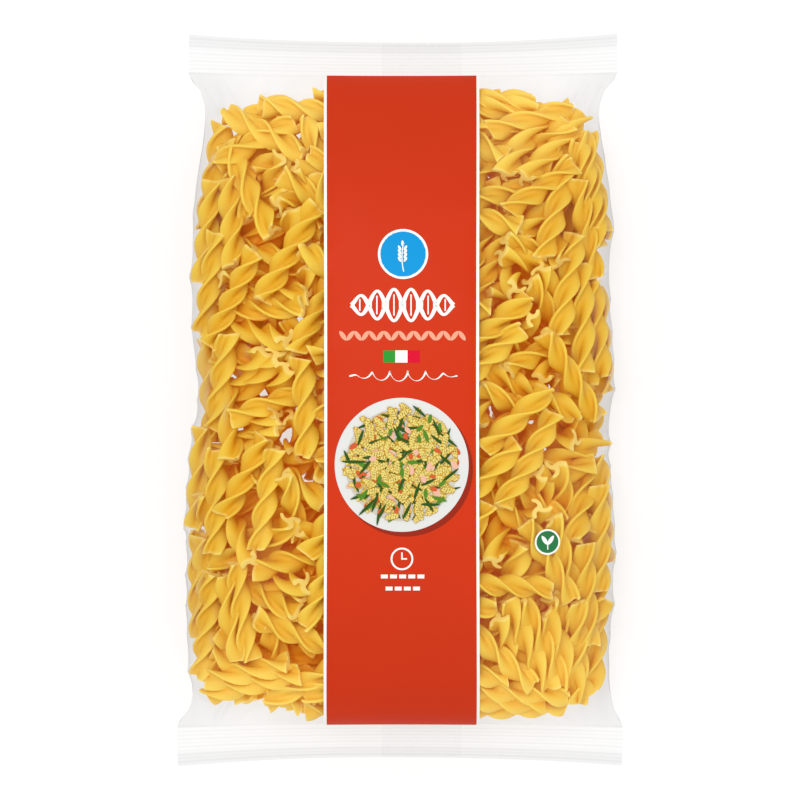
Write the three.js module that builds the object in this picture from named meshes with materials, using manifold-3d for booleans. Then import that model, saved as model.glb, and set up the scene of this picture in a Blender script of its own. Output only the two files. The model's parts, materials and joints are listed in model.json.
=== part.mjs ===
// A 500 g pillow pack of dried pasta spirals, lying on its back.
// One closed solid: the filled bag with its crimped seal at both ends, its back fin seal, and
// the low ridges where the pasta underneath presses on the film.
// Millimetres. +X runs across the pack, +Y towards its top seal and +Z up from the table.
// The origin is on the table under the middle of the pack.

import * as THREE from 'three';
import { mergeVertices } from 'three/addons/utils/BufferGeometryUtils.js';
import Module from 'manifold-3d';

// The whole pack
const PACK_LENGTH = 271.4; // from cut edge to cut edge, at the corners
const PACK_THICKNESS = 50;
const TOP_SEAL_WIDTH = 158.7;
const BOTTOM_SEAL_WIDTH = 164.7;
const TOP_SEAL_CENTRE = 1.1; // how far each seal's middle lies to the right
const BOTTOM_SEAL_CENTRE = 0;

// End seals
const SEAL_DEPTH = 14.4; // along Y, at the corners
const SEAL_DEPTH_LOST = 2.1; // the middle of a seal leans away, so it spans less of Y
const ROOT_PULL = 1.2; // the bulge pulls the middle of a seal's inner edge in by this
const SEAL_HEIGHT = 19; // of the seals and of the widest line round the pack
const SEAL_THICKNESS = 0.9;
const SEAL_OVERLAP = 1.2; // how far a seal reaches into the bag
const SEAL_DROOP = 3.2; // how far the cut edge hangs below the inner edge
const SEAL_WAVE = 1.1; // the cut edge's slow wave
const SEAL_WAVES = 1.5; // waves across the pack
const RIB_COUNT = 5;
const RIB_HEIGHT = 0.7;
const SEAL_STEPS = 16; // across the pack

// Back fin seal, folded flat against the back
const FIN_LEFT = -6.8;
const FIN_RIGHT = 22.8;
const FIN_THICKNESS = 0.7;
const FIN_EDGE = 0.3; // half the width of the step at each side of the fin
const FIN_BRIDGE = 9; // the film beside the fin reaches the table this far from it

// How the bag fills out from each end: 1 - (1 - t)^reach, to the power of rise, where t runs
// from 0 at the seal to 1 in the middle. The bottom end is fuller than the top end.
const TOP_END = { reach: 2.6, rise: 0.75 };
const BOTTOM_END = { reach: 3.0, rise: 0.55 };
const FLOOR_PRESS = 4; // how far the back would sag below the table, which flattens it

// The bag's cross-section: 1 - |s|^roundness, to the power of side, s being -1 and 1 at the sides
const FRONT_ROUNDNESS = 2.4;
const BACK_ROUNDNESS = 3;
const FULL_SIDE = 0.6;
const PINCHED_SIDE = 1.05; // beside the seals, where the corners are thin ears
const EAR_REACH = 0.13; // the share of the half length over which the ears fill out

// Where the film draws in along the sides: +1 is the right side, -1 the left side
const BODY_DRAW_IN = 1.5;
const DRAW_IN_RAMP = 7; // away from the seals
const SIDE_DIPS = [
  { side: -1, y: 104, depth: 3.0, reach: 13 },
  { side: 1, y: 104, depth: 3.6, reach: 13 },
  { side: -1, y: 0, depth: 3.2, reach: 11 },
  { side: 1, y: 40, depth: 1.2, reach: 10 },
  { side: 1, y: -19, depth: 2.6, reach: 11 },
  { side: 1, y: -92, depth: 1.8, reach: 16 },
  { side: -1, y: -108, depth: 2.0, reach: 8 },
];

// Ridges over the pieces of pasta that press on the front film
const RIDGE_COLUMNS = 5;
const RIDGE_ROWS = 8;
const RIDGE_FIELD_X = 134;
const RIDGE_FIELD_Y = 208;
const RIDGE_JITTER = 0.28; // of a cell
const RIDGE_HALF_LENGTH = 15;
const RIDGE_REACH = 9;
const RIDGE_HEIGHT = 1.7;
const RIDGE_SEED = 20;
const BAND_MIDDLE = 0.9; // the printed band down the front, which lies flatter
const BAND_HALF_WIDTH = 27.4;
const BAND_FLATTENING = 0.3;
const BAND_BLEND = 8;

// Mesh density
const LENGTH_STEPS = 54;
const FRONT_STEPS = 42;
const BACK_OUTER_STEPS = 9;
const BACK_FIN_STEPS = 6;
const EDGE_CROWDING = 0.5; // 0 is even spacing, 1 crowds the steps at the sides and ends

const HALF_ROOT = PACK_LENGTH / 2 - SEAL_DEPTH; // from the middle to a seal's inner edge

// A repeatable random number source, giving values from 0 to 1
function randomSource(seed) {
  let state = seed >>> 0;
  return () => {
    state = (Math.imul(state, 1664525) + 1013904223) >>> 0;
    return state / 4294967296;
  };
}

// One ridge for each cell of a grid over the front, moved and turned at random
function layOutRidges() {
  const random = randomSource(RIDGE_SEED);
  const ridges = [];
  for (let row = 0; row < RIDGE_ROWS; row++) {
    for (let column = 0; column < RIDGE_COLUMNS; column++) {
      const moveX = (2 * random() - 1) * RIDGE_JITTER;
      const moveY = (2 * random() - 1) * RIDGE_JITTER;
      const angle = Math.PI * random();
      ridges.push({
        x: ((column + 0.5 + moveX) / RIDGE_COLUMNS - 0.5) * RIDGE_FIELD_X,
        y: ((row + 0.5 + moveY) / RIDGE_ROWS - 0.5) * RIDGE_FIELD_Y,
        alongX: Math.cos(angle),
        alongY: Math.sin(angle),
      });
    }
  }
  return ridges;
}

const ridges = layOutRidges();

// Height of the ridges at a place on the front: each fades out round its own line
function ridgeHeight(x, y) {
  let height = 0;
  for (const ridge of ridges) {
    const dx = x - ridge.x;
    const dy = y - ridge.y;
    const along = dx * ridge.alongX + dy * ridge.alongY;
    const nearest = THREE.MathUtils.clamp(along, -RIDGE_HALF_LENGTH, RIDGE_HALF_LENGTH);
    const distance = Math.hypot(dx - nearest * ridge.alongX, dy - nearest * ridge.alongY);
    const share = Math.max(0, 1 - (distance / RIDGE_REACH) ** 2);
    height = Math.max(height, RIDGE_HEIGHT * share * share);
  }
  const beyondBand = Math.abs(x - BAND_MIDDLE) - BAND_HALF_WIDTH;
  const free = THREE.MathUtils.smoothstep(beyondBand, -BAND_BLEND, BAND_BLEND);
  return height * THREE.MathUtils.lerp(BAND_FLATTENING, 1, free);
}

// 0 at the bottom seal's inner edge and 1 at the top seal's
function shareOfLength(y) {
  return THREE.MathUtils.clamp(0.5 + y / (2 * HALF_ROOT), 0, 1);
}

function centreLine(y) {
  return THREE.MathUtils.lerp(BOTTOM_SEAL_CENTRE, TOP_SEAL_CENTRE, shareOfLength(y));
}

// Distance from the centre line to one side of the bag
function halfWidth(y, side) {
  const flat = THREE.MathUtils.lerp(BOTTOM_SEAL_WIDTH, TOP_SEAL_WIDTH, shareOfLength(y)) / 2;
  const ramp = THREE.MathUtils.clamp((HALF_ROOT - Math.abs(y)) / DRAW_IN_RAMP, 0, 1);
  let drawIn = BODY_DRAW_IN;
  for (const dip of SIDE_DIPS) {
    if (dip.side === side) drawIn += dip.depth * Math.exp(-((y - dip.y) ** 2) / (2 * dip.reach ** 2));
  }
  return flat - drawIn * ramp;
}

// 0 at a seal and 1 in the middle of the pack
function shareFromSeal(y) {
  return THREE.MathUtils.clamp(1 - Math.abs(y) / HALF_ROOT, 0, 1);
}

// How far the bag has filled out at y
function fullness(y) {
  const end = y > 0 ? TOP_END : BOTTOM_END;
  return (1 - (1 - shareFromSeal(y)) ** end.reach) ** end.rise;
}

// How far the cross-section stands off the widest line at s, from 0 to 1
function sectionShare(y, s, roundness) {
  const ears = THREE.MathUtils.smoothstep(shareFromSeal(y), 0, EAR_REACH);
  const side = THREE.MathUtils.lerp(PINCHED_SIDE, FULL_SIDE, ears);
  return Math.max(0, 1 - Math.abs(s) ** roundness) ** side;
}

// Keeps the front and the back a little apart where they meet the seals
function leastGap(y, s) {
  return 0.3 * SEAL_THICKNESS * (1 - s * s) * (1 - shareFromSeal(y));
}

function frontHeight(x, y, s) {
  const share = sectionShare(y, s, FRONT_ROUNDNESS);
  const rise = (PACK_THICKNESS - SEAL_HEIGHT) * fullness(y) * share;
  return SEAL_HEIGHT + rise + ridgeHeight(x, y) * share * fullness(y) + leastGap(y, s);
}

// The back lies flat on the table. The fin stands out from it, and the film beside the fin
// slopes down to the table.
function backHeight(x, y, s) {
  const share = sectionShare(y, s, BACK_ROUNDNESS);
  const drop = (SEAL_HEIGHT + FLOOR_PRESS) * fullness(y) * share;
  const besideFin = Math.max(FIN_LEFT - x, x - FIN_RIGHT);
  const onFin = besideFin < 0 ? FIN_THICKNESS * fullness(y) : 0;
  const floor = besideFin < 0 ? 0 : FIN_THICKNESS * Math.max(0, 1 - besideFin / FIN_BRIDGE);
  return Math.max(floor, SEAL_HEIGHT - drop - onFin - leastGap(y, s));
}

// Places from -1 to 1, closer together towards both ends
function crowdedSteps(count) {
  return Array.from({ length: count + 1 }, (_, i) => {
    const even = (2 * i) / count - 1;
    const crowded = -Math.cos((Math.PI * i) / count);
    return THREE.MathUtils.lerp(even, crowded, EDGE_CROWDING);
  });
}

// The x places across the back, from its right side to its left, with a step at each fin edge
function backPlaces(right, left) {
  const outer = (from, to) =>
    Array.from({ length: BACK_OUTER_STEPS }, (_, i) => {
      const share = (i + 1) / BACK_OUTER_STEPS;
      return THREE.MathUtils.lerp(from, to, Math.sin((share * Math.PI) / 2));
    });
  const inner = Array.from({ length: BACK_FIN_STEPS + 1 }, (_, i) =>
    THREE.MathUtils.lerp(FIN_RIGHT - FIN_EDGE, FIN_LEFT + FIN_EDGE, i / BACK_FIN_STEPS),
  );
  const fromRight = outer(FIN_RIGHT + FIN_EDGE, right).reverse();
  const toLeft = outer(FIN_LEFT - FIN_EDGE, left);
  return [...fromRight.slice(1), FIN_RIGHT + FIN_EDGE, ...inner, FIN_LEFT - FIN_EDGE, ...toLeft.slice(0, -1)];
}

// One cross-section of the bag, across the front from left to right and back along the back
function bagRing(y) {
  const centre = centreLine(y);
  const left = centre - halfWidth(y, -1);
  const right = centre + halfWidth(y, 1);
  const place = (x, height) => {
    const s = x < centre ? (x - centre) / (centre - left) : (x - centre) / (right - centre);
    const pulled = y * (1 - (ROOT_PULL / HALF_ROOT) * (1 - s * s));
    return new THREE.Vector3(x, pulled, height(x, y, THREE.MathUtils.clamp(s, -1, 1)));
  };
  const front = crowdedSteps(FRONT_STEPS).map((s) => {
    const x = centre + (s < 0 ? s * (centre - left) : s * (right - centre));
    return place(x, frontHeight);
  });
  return [...front, ...backPlaces(right, left).map((x) => place(x, backHeight))];
}

// One lengthwise section of a seal at a share u across it, from -1 to 1. end is 1 at the top
// seal and -1 at the bottom seal.
function sealRing(end, u, width, centre) {
  const x = centre + (u * width) / 2;
  const root = HALF_ROOT - ROOT_PULL * (1 - u * u);
  const depth = SEAL_DEPTH - SEAL_DEPTH_LOST * (1 - u * u);
  const onFin = x > FIN_LEFT && x < FIN_RIGHT ? FIN_THICKNESS : 0;
  const steps = 2 * RIB_COUNT + 1;
  const line = [];
  for (let i = -1; i <= steps; i++) {
    const w = Math.max(0, i) / steps;
    const rib = i < 1 || i === steps ? 0 : (i % 2 ? 1 : -1) * (RIB_HEIGHT / 2);
    const hang = -SEAL_DROOP * w * w + SEAL_WAVE * w * Math.cos(Math.PI * SEAL_WAVES * u + end);
    line.push({ y: end * (i < 0 ? root - SEAL_OVERLAP : root + w * depth), z: SEAL_HEIGHT + hang + rib });
  }
  const upper = line.map((p) => new THREE.Vector3(x, p.y, p.z + SEAL_THICKNESS / 2));
  const lower = line.map((p) => new THREE.Vector3(x, p.y, p.z - SEAL_THICKNESS / 2 - onFin));
  return [...upper, ...lower.reverse()];
}

// The shares across a seal, with a step at each edge of the fin
function sealPlaces(width, centre) {
  const even = Array.from({ length: SEAL_STEPS + 1 }, (_, i) => (2 * i) / SEAL_STEPS - 1);
  const steps = [FIN_LEFT, FIN_RIGHT].flatMap((x) => [x - FIN_EDGE, x + FIN_EDGE]);
  const shares = steps.map((x) => (2 * (x - centre)) / width);
  const clear = even.filter((u) => shares.every((share) => Math.abs(u - share) > 0.02));
  return [...clear, ...shares].sort((a, b) => a - b);
}

// A closed surface through rings with equally many points. flat turns a point into the two
// coordinates in which the first and last ring are filled.
function loft(rings, flat) {
  const count = rings[0].length;
  const positions = rings.flat().flatMap((p) => [p.x, p.y, p.z]);
  const index = [];
  for (let r = 0; r + 1 < rings.length; r++) {
    for (let i = 0; i < count; i++) {
      const a = r * count + i;
      const b = r * count + ((i + 1) % count);
      index.push(a, b, b + count, a, b + count, a + count);
    }
  }
  const last = (rings.length - 1) * count;
  const caps = (ring) => {
    const outline = ring.map(flat);
    const turn = THREE.ShapeUtils.area(outline);
    const triangles = THREE.ShapeUtils.triangulateShape(outline, []);
    const sameTurn = (t) => THREE.ShapeUtils.area(t.map((i) => outline[i])) * turn >= 0;
    return triangles.map((t) => (sameTurn(t) ? t : [...t].reverse()));
  };
  for (const [a, b, c] of caps(rings[0])) index.push(c, b, a);
  for (const [a, b, c] of caps(rings[rings.length - 1])) index.push(last + a, last + b, last + c);
  const geometry = new THREE.BufferGeometry();
  geometry.setAttribute('position', new THREE.Float32BufferAttribute(positions, 3));
  geometry.setIndex(index);
  return geometry;
}

function bagGeometry() {
  const rings = crowdedSteps(LENGTH_STEPS).map((share) => bagRing(share * HALF_ROOT));
  return loft(rings, (p) => new THREE.Vector2(p.x, p.z));
}

function sealGeometry(end) {
  const width = end > 0 ? TOP_SEAL_WIDTH : BOTTOM_SEAL_WIDTH;
  const centre = end > 0 ? TOP_SEAL_CENTRE : BOTTOM_SEAL_CENTRE;
  const rings = sealPlaces(width, centre).map((u) => sealRing(end, u, width, centre));
  return loft(rings, (p) => new THREE.Vector2(p.y, p.z));
}

const wasm = await Module();
wasm.setup();

// A closed geometry as a solid, turned so that its faces point out
function solidOf(geometry) {
  const merged = mergeVertices(geometry, 1e-4);
  const build = (triVerts) =>
    new wasm.Manifold(
      new wasm.Mesh({ numProp: 3, vertProperties: merged.attributes.position.array, triVerts }),
    );
  const made = build(new Uint32Array(merged.index.array));
  return made.volume() > 0 ? made : build(new Uint32Array(merged.index.array).reverse());
}

function geometryOf(solid) {
  const mesh = solid.getMesh();
  const geometry = new THREE.BufferGeometry();
  geometry.setAttribute('position', new THREE.BufferAttribute(mesh.vertProperties, 3));
  geometry.setIndex(new THREE.BufferAttribute(mesh.triVerts, 1));
  geometry.computeVertexNormals();
  return geometry;
}

const pack = solidOf(bagGeometry()).add(solidOf(sealGeometry(1))).add(solidOf(sealGeometry(-1)));

const film = new THREE.MeshStandardMaterial({ color: 0xe9c46a, roughness: 0.3, metalness: 0 });
const bag = new THREE.Mesh(geometryOf(pack), film);
bag.name = 'bag';

const pastaPacket = new THREE.Group();
pastaPacket.add(bag);

export default pastaPacket;
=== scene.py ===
"""Dresses the pasta packet: a clear film pillow pack, loose pasta spirals and a printed band.

The classes work in millimetres in the frame of the solids: +X runs across the pack, +Y towards
its top seal and +Z up from the table. Meshes are written in metres. Every surface is computed as
whole arrays: a function of two parameters on a grid, or a profile carried along a path.
"""

import json
import logging
import math
from dataclasses import dataclass, field
from enum import Enum

import bpy
import numpy as np
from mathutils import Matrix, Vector

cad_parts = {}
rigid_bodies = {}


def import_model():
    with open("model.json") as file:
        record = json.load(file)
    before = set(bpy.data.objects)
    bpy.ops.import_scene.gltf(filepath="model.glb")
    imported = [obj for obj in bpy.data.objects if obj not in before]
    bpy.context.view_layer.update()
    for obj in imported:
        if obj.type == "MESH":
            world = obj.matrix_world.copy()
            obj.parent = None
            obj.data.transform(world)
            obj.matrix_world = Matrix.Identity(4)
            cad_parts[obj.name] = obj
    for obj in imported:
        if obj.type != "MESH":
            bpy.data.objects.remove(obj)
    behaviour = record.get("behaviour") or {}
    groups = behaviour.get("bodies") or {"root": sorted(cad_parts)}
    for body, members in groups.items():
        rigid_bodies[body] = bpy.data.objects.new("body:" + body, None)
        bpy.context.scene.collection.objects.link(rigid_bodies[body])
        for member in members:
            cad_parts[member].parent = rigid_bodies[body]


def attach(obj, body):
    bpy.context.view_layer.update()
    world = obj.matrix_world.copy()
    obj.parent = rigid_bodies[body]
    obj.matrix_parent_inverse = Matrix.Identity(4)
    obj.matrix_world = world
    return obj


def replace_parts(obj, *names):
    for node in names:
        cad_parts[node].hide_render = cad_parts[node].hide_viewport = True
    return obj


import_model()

LOG = logging.getLogger("pasta_packet")
MM = 0.001
Array = np.ndarray
Colour = tuple[float, float, float, float]


class Slot(Enum):
    """The record's material slots."""

    FILM = "film"
    PASTA = "pasta"
    PRINT = "print"


class Ink(Enum):
    """The inks of the print, as display colours from 0 to 255."""

    RED = (205, 51, 11)
    WHITE = (250, 249, 245)
    BLUE = (0, 150, 216)
    BLUSH = (238, 166, 136)
    GREEN = (42, 120, 70)
    LEAF = (84, 132, 34)
    MOSS = (44, 82, 22)
    CLOVER = (44, 152, 46)
    SCARLET = (216, 0, 44)
    SHADE = (150, 38, 18)
    PLATE = (222, 222, 219)
    CREAM = (206, 200, 184)
    OCHRE = (196, 146, 36)
    STRAW = (232, 212, 118)
    CORAL = (206, 92, 44)
    PINK = (232, 180, 156)


def smoothstep(value: Array, low: float, high: float) -> Array:
    """3t^2 - 2t^3, where t is the share of the way from low to high, from 0 to 1."""
    share = np.clip((value - low) / (high - low), 0, 1)
    return share * share * (3 - 2 * share)


def crowded_steps(count: int, crowding: float = 0.5) -> Array:
    """Places from -1 to 1 in count steps, a blend of even and cosine spacing."""
    i = np.arange(count + 1)
    return (1 - crowding) * (2 * i / count - 1) - crowding * np.cos(math.pi * i / count)


def linear(red: int, green: int, blue: int) -> Colour:
    """Turns a display colour into the linear colour that a shader takes.

    Args:
        red, green, blue: From 0 to 255.

    Returns:
        The linear colour with alpha 1.
    """
    share = np.array([red, green, blue]) / 255
    low = share / 12.92
    high = ((share + 0.055) / 1.055) ** 2.4
    made = np.where(share <= 0.04045, low, high)
    return float(made[0]), float(made[1]), float(made[2]), 1.0


@dataclass
class Surface:
    """Vertices and faces that become one mesh.

    Attributes:
        points: Vertex places in millimetres, n by 3.
        faces: Vertex numbers, m by 3 or m by 4.
        marks: Values per vertex, by attribute name, that a material reads.
        sharp: The angle past which an edge is shaded as a crease.
    """

    points: Array
    faces: Array
    marks: dict[str, Array] = field(default_factory=dict)
    sharp: float = math.pi

    @staticmethod
    def grid(points: Array, closed: bool = False) -> "Surface":
        """Faces a grid of points with quads.

        Args:
            points: rows by columns by 3. Faces point along column step cross row step.
            closed: Whether the last column joins the first.

        Returns:
            The surface of the grid.
        """
        rows, columns = points.shape[:2]
        number = np.arange(rows * columns).reshape(rows, columns)
        right = np.roll(number, -1, axis=1)
        corner = [number[:-1], right[:-1], right[1:], number[1:]]
        if not closed:
            corner = [part[:, :-1] for part in corner]
        faces = np.stack([part.ravel() for part in corner], axis=1)
        return Surface(points.reshape(-1, 3), faces)

    @staticmethod
    def joined(parts: list["Surface"]) -> "Surface":
        """Joins surfaces whose faces have equally many corners and whose marks agree.

        Args:
            parts: The surfaces.

        Returns:
            One surface that holds them all.
        """
        starts = np.cumsum([0] + [len(part.points) for part in parts[:-1]])
        faces = np.concatenate([part.faces + start for part, start in zip(parts, starts)])
        names = parts[0].marks
        marks = {name: np.concatenate([part.marks[name] for part in parts]) for name in names}
        return Surface(np.concatenate([part.points for part in parts]), faces, marks)

    def upward(self) -> Array:
        """How far each vertex faces up, by the unit sum of its triangles' normals.

        Returns:
            -1 for down to 1 for up, one value a vertex.
        """
        corner = [self.points[self.faces[:, k]] for k in range(3)]
        normal = np.cross(corner[1] - corner[0], corner[2] - corner[0])
        total = np.zeros_like(self.points)
        for k in range(3):
            for i in range(3):
                total[:, i] += np.bincount(self.faces[:, k], normal[:, i], len(self.points))
        return total[:, 2] / np.maximum(1e-9, np.linalg.norm(total, axis=1))

    def mesh(self, name: str) -> bpy.types.Mesh:
        """Writes the surface as a smooth-shaded mesh in metres.

        Args:
            name: The mesh's name.

        Returns:
            The mesh.
        """
        made = bpy.data.meshes.new(name)
        corners = self.faces.shape[1]
        made.vertices.add(len(self.points))
        made.vertices.foreach_set("co", (self.points * MM).astype(np.float32).ravel())
        made.loops.add(self.faces.size)
        made.loops.foreach_set("vertex_index", self.faces.astype(np.int32).ravel())
        made.polygons.add(len(self.faces))
        starts = np.arange(0, self.faces.size, corners, dtype=np.int32)
        made.polygons.foreach_set("loop_start", starts)
        for mark, values in self.marks.items():
            attribute = made.attributes.new(mark, "FLOAT", "POINT")
            attribute.data.foreach_set("value", values.astype(np.float32).ravel())
        made.update(calc_edges=True)
        made.validate()
        made.shade_smooth()
        if self.sharp < math.pi:
            made.set_sharp_from_angle(angle=self.sharp)
        return made

    def piece(self, name: str, material: bpy.types.Material, slot: Slot) -> bpy.types.Object:
        """Makes a piece of the packet that rides on its one body.

        Args:
            name: The piece's name.
            material: Its finish.
            slot: The record's slot for its finish. Not used.

        Returns:
            The object.
        """
        made = bpy.data.objects.new(name, self.mesh(name))
        bpy.context.scene.collection.objects.link(made)
        made.data.materials.append(material)
        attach(made, "root")
        return made


@dataclass(frozen=True)
class Dip:
    """A place where the film draws in along a side.

    Attributes:
        side: 1 for the right side, -1 for the left side.
        y: Its middle along the pack.
        depth: How far the film draws in.
        reach: Its spread along the pack.
    """

    side: int
    y: float
    depth: float
    reach: float


@dataclass(frozen=True)
class PackShape:
    """The outer form of the pack: the same named sizes and formulas as the solid.

    A cross-section stands off the widest line by 1 - |s|^roundness to the power of side, where s
    runs from -1 to 1 across the pack. Along the pack it fills out by 1 - (1 - t)^reach to the
    power of rise, where t runs from 0 at a seal to 1 in the middle.

    Attributes:
        length, thickness: Of the filled pack.
        top_width, bottom_width: Of the seals.
        top_centre, bottom_centre: The x of the seals' middles.
        seal_depth, seal_depth_lost: From a seal's inner edge to its cut edge at the sides, and
            how much less that is in the middle.
        root_pull: How far the bulge pulls the middle of a seal in.
        seal_height: Of the seals' inner edges above the table.
        seal_thickness: Of a seal in the solid.
        seal_droop: How far a cut edge hangs below the inner edge.
        seal_wave, seal_waves: The height of the wave along a cut edge, and its half waves from
            the middle to a side.
        rib_count: Crimps in a seal.
        fin_left, fin_right: The x of the fin seal's edges.
        fin_thickness, fin_bridge: The height at which the back bridges the fin seal, and how
            far beside it the back comes down.
        top_reach, bottom_reach: How soon the pack fills out from each seal.
        top_rise, bottom_rise: How steeply it does.
        floor_press: How far the table flattens the back.
        front_roundness, back_roundness: The powers that round the front and the back.
        full_side, pinched_side: The powers that shape the sides in the middle and at the seals.
        ear_reach: The share of the half length in which one turns into the other.
        draw_in, draw_in_ramp: How much narrower the filled pack is at each side, and the way
            from a seal in which it gets so.
        dips: Where it draws in further.
    """

    length: float = 271.4
    thickness: float = 50.0
    top_width: float = 158.7
    bottom_width: float = 164.7
    top_centre: float = 1.1
    bottom_centre: float = 0.0
    seal_depth: float = 14.4
    seal_depth_lost: float = 2.1
    root_pull: float = 1.2
    seal_height: float = 19.0
    seal_thickness: float = 0.9
    seal_droop: float = 3.2
    seal_wave: float = 1.1
    seal_waves: float = 1.5
    rib_count: int = 5
    fin_left: float = -6.8
    fin_right: float = 22.8
    fin_thickness: float = 0.7
    fin_bridge: float = 9.0
    top_reach: float = 2.6
    top_rise: float = 0.75
    bottom_reach: float = 3.0
    bottom_rise: float = 0.55
    floor_press: float = 4.0
    front_roundness: float = 2.4
    back_roundness: float = 3.0
    full_side: float = 0.6
    pinched_side: float = 1.05
    ear_reach: float = 0.13
    draw_in: float = 1.5
    draw_in_ramp: float = 7.0
    dips: tuple[Dip, ...] = (
        Dip(-1, 104, 3.0, 13),
        Dip(1, 104, 3.6, 13),
        Dip(-1, 0, 3.2, 11),
        Dip(1, 40, 1.2, 10),
        Dip(1, -19, 2.6, 11),
        Dip(1, -92, 1.8, 16),
        Dip(-1, -108, 2.0, 8),
    )

    @property
    def half_root(self) -> float:
        """The distance from the middle of the pack to a seal's inner edge."""
        return self.length / 2 - self.seal_depth

    def share_of_length(self, y: Array) -> Array:
        """0 at the bottom seal's inner edge and 1 at the top seal's."""
        return np.clip(0.5 + y / (2 * self.half_root), 0, 1)

    def centre_line(self, y: Array) -> Array:
        """The x of the middle of the pack at y."""
        share = self.share_of_length(y)
        return self.bottom_centre + (self.top_centre - self.bottom_centre) * share

    def half_width(self, y: Array, side: int) -> Array:
        """Distance from the centre line to one side: the flat width less ramped dips.

        Args:
            y: Places along the pack.
            side: 1 for the right side, -1 for the left side.

        Returns:
            One distance a place.
        """
        share = self.share_of_length(y)
        flat = (self.bottom_width + (self.top_width - self.bottom_width) * share) / 2
        ramp = np.clip((self.half_root - np.abs(y)) / self.draw_in_ramp, 0, 1)
        dips = [dip for dip in self.dips if dip.side == side]
        drawn = sum(d.depth * np.exp(-((y - d.y) ** 2) / (2 * d.reach**2)) for d in dips)
        return flat - (self.draw_in + drawn) * ramp

    def share_across(self, x: Array, y: Array) -> Array:
        """How far across the pack x is, -1 at the left side and 1 at the right side."""
        away = x - self.centre_line(y)
        return away / np.where(away < 0, self.half_width(y, -1), self.half_width(y, 1))

    def share_from_seal(self, y: Array) -> Array:
        """0 at a seal and 1 in the middle of the pack."""
        return np.clip(1 - np.abs(y) / self.half_root, 0, 1)

    def fullness(self, y: Array) -> Array:
        """How far the pack has filled out.

        Args:
            y: Places along the pack.

        Returns:
            Shares from 0 at a seal to 1.
        """
        rest = 1 - self.share_from_seal(y)
        top = (1 - rest**self.top_reach) ** self.top_rise
        bottom = (1 - rest**self.bottom_reach) ** self.bottom_rise
        return np.where(y > 0, top, bottom)

    def section_share(self, y: Array, s: Array, roundness: float) -> Array:
        """How far a cross-section stands off the widest line.

        Args:
            y: Places along the pack.
            s: Shares across the pack, from -1 to 1.
            roundness: The power that rounds this face.

        Returns:
            Shares from 0 at the sides to 1 in the middle.
        """
        ears = smoothstep(self.share_from_seal(y), 0, self.ear_reach)
        side = self.pinched_side + (self.full_side - self.pinched_side) * ears
        return np.maximum(0, 1 - np.abs(s) ** roundness) ** side

    def least_gap(self, y: Array, s: Array) -> Array:
        """Half of what keeps the front and the back apart where they meet the seals."""
        return 0.3 * self.seal_thickness * (1 - s * s) * (1 - self.share_from_seal(y))

    def front_height(self, y: Array, s: Array) -> Array:
        """The height of the front, without what presses on it from inside.

        Args:
            y: Places along the pack.
            s: Shares across the pack, from -1 to 1.

        Returns:
            One height a place.
        """
        share = self.section_share(y, s, self.front_roundness)
        rise = (self.thickness - self.seal_height) * self.fullness(y) * share
        return self.seal_height + rise + self.least_gap(y, s)

    def back_height(self, x: Array, y: Array, s: Array) -> Array:
        """The height of the back, which bridges the fin seal and lies flat beside it.

        Args:
            x: Places across the pack.
            y: Places along the pack.
            s: The same places across as shares, from -1 to 1.

        Returns:
            One height a place.
        """
        share = self.section_share(y, s, self.back_roundness)
        drop = (self.seal_height + self.floor_press) * self.fullness(y) * share
        beside = np.maximum(0, np.maximum(self.fin_left - x, x - self.fin_right))
        floor = self.fin_thickness * np.maximum(0, 1 - beside / self.fin_bridge)
        return np.maximum(floor, self.seal_height - drop - self.least_gap(y, s))

    def place(self, s: Array, y: Array, front: bool) -> Array:
        """Points on the front or the back.

        Args:
            s: Shares across the pack, -1 at the left side and 1 at the right side.
            y: Places along the pack, before the bulge pulls the seals in.
            front: Whether the points are on the front.

        Returns:
            Points, with the shape of s and y and a last axis of 3.
        """
        s, y = np.broadcast_arrays(s, y)
        half = np.where(s < 0, self.half_width(y, -1), self.half_width(y, 1))
        x = self.centre_line(y) + s * half
        z = self.front_height(y, s) if front else self.back_height(x, y, s)
        pulled = y * (1 - self.root_pull / self.half_root * (1 - s * s))
        return np.stack([x, pulled, z], axis=-1)

    def holds(self, places: Array) -> Array:
        """Whether points lie between the front and the back.

        Args:
            places: Points, n by 3.

        Returns:
            One truth value a point.
        """
        x, y, z = places.T
        away = x - self.centre_line(y)
        half = np.where(away < 0, self.half_width(y, -1), self.half_width(y, 1))
        s = np.clip(away / half, -1, 1)
        between = (z < self.front_height(y, s)) & (z > self.back_height(x, y, s))
        return between & (np.abs(away) < half) & (np.abs(y) < self.half_root)

    def seal_line(self, end: int, u: Array, w: Array) -> Array:
        """Points of a seal's middle surface, without its ribs.

        Args:
            end: 1 for the top seal, -1 for the bottom seal.
            u: Shares across the seal, from -1 to 1.
            w: Shares from its inner edge, 0, to its cut edge, 1.

        Returns:
            Points, with the shape of u and w and a last axis of 3.
        """
        u, w = np.broadcast_arrays(u, w)
        width = self.top_width if end > 0 else self.bottom_width
        centre = self.top_centre if end > 0 else self.bottom_centre
        rest = 1 - u * u
        root = self.half_root - self.root_pull * rest
        depth = self.seal_depth - self.seal_depth_lost * rest
        wave = self.seal_wave * w * np.cos(math.pi * self.seal_waves * u + end)
        z = self.seal_height - self.seal_droop * w * w + wave
        return np.stack([centre + u * width / 2, end * (root + w * depth), z], axis=-1)


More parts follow.
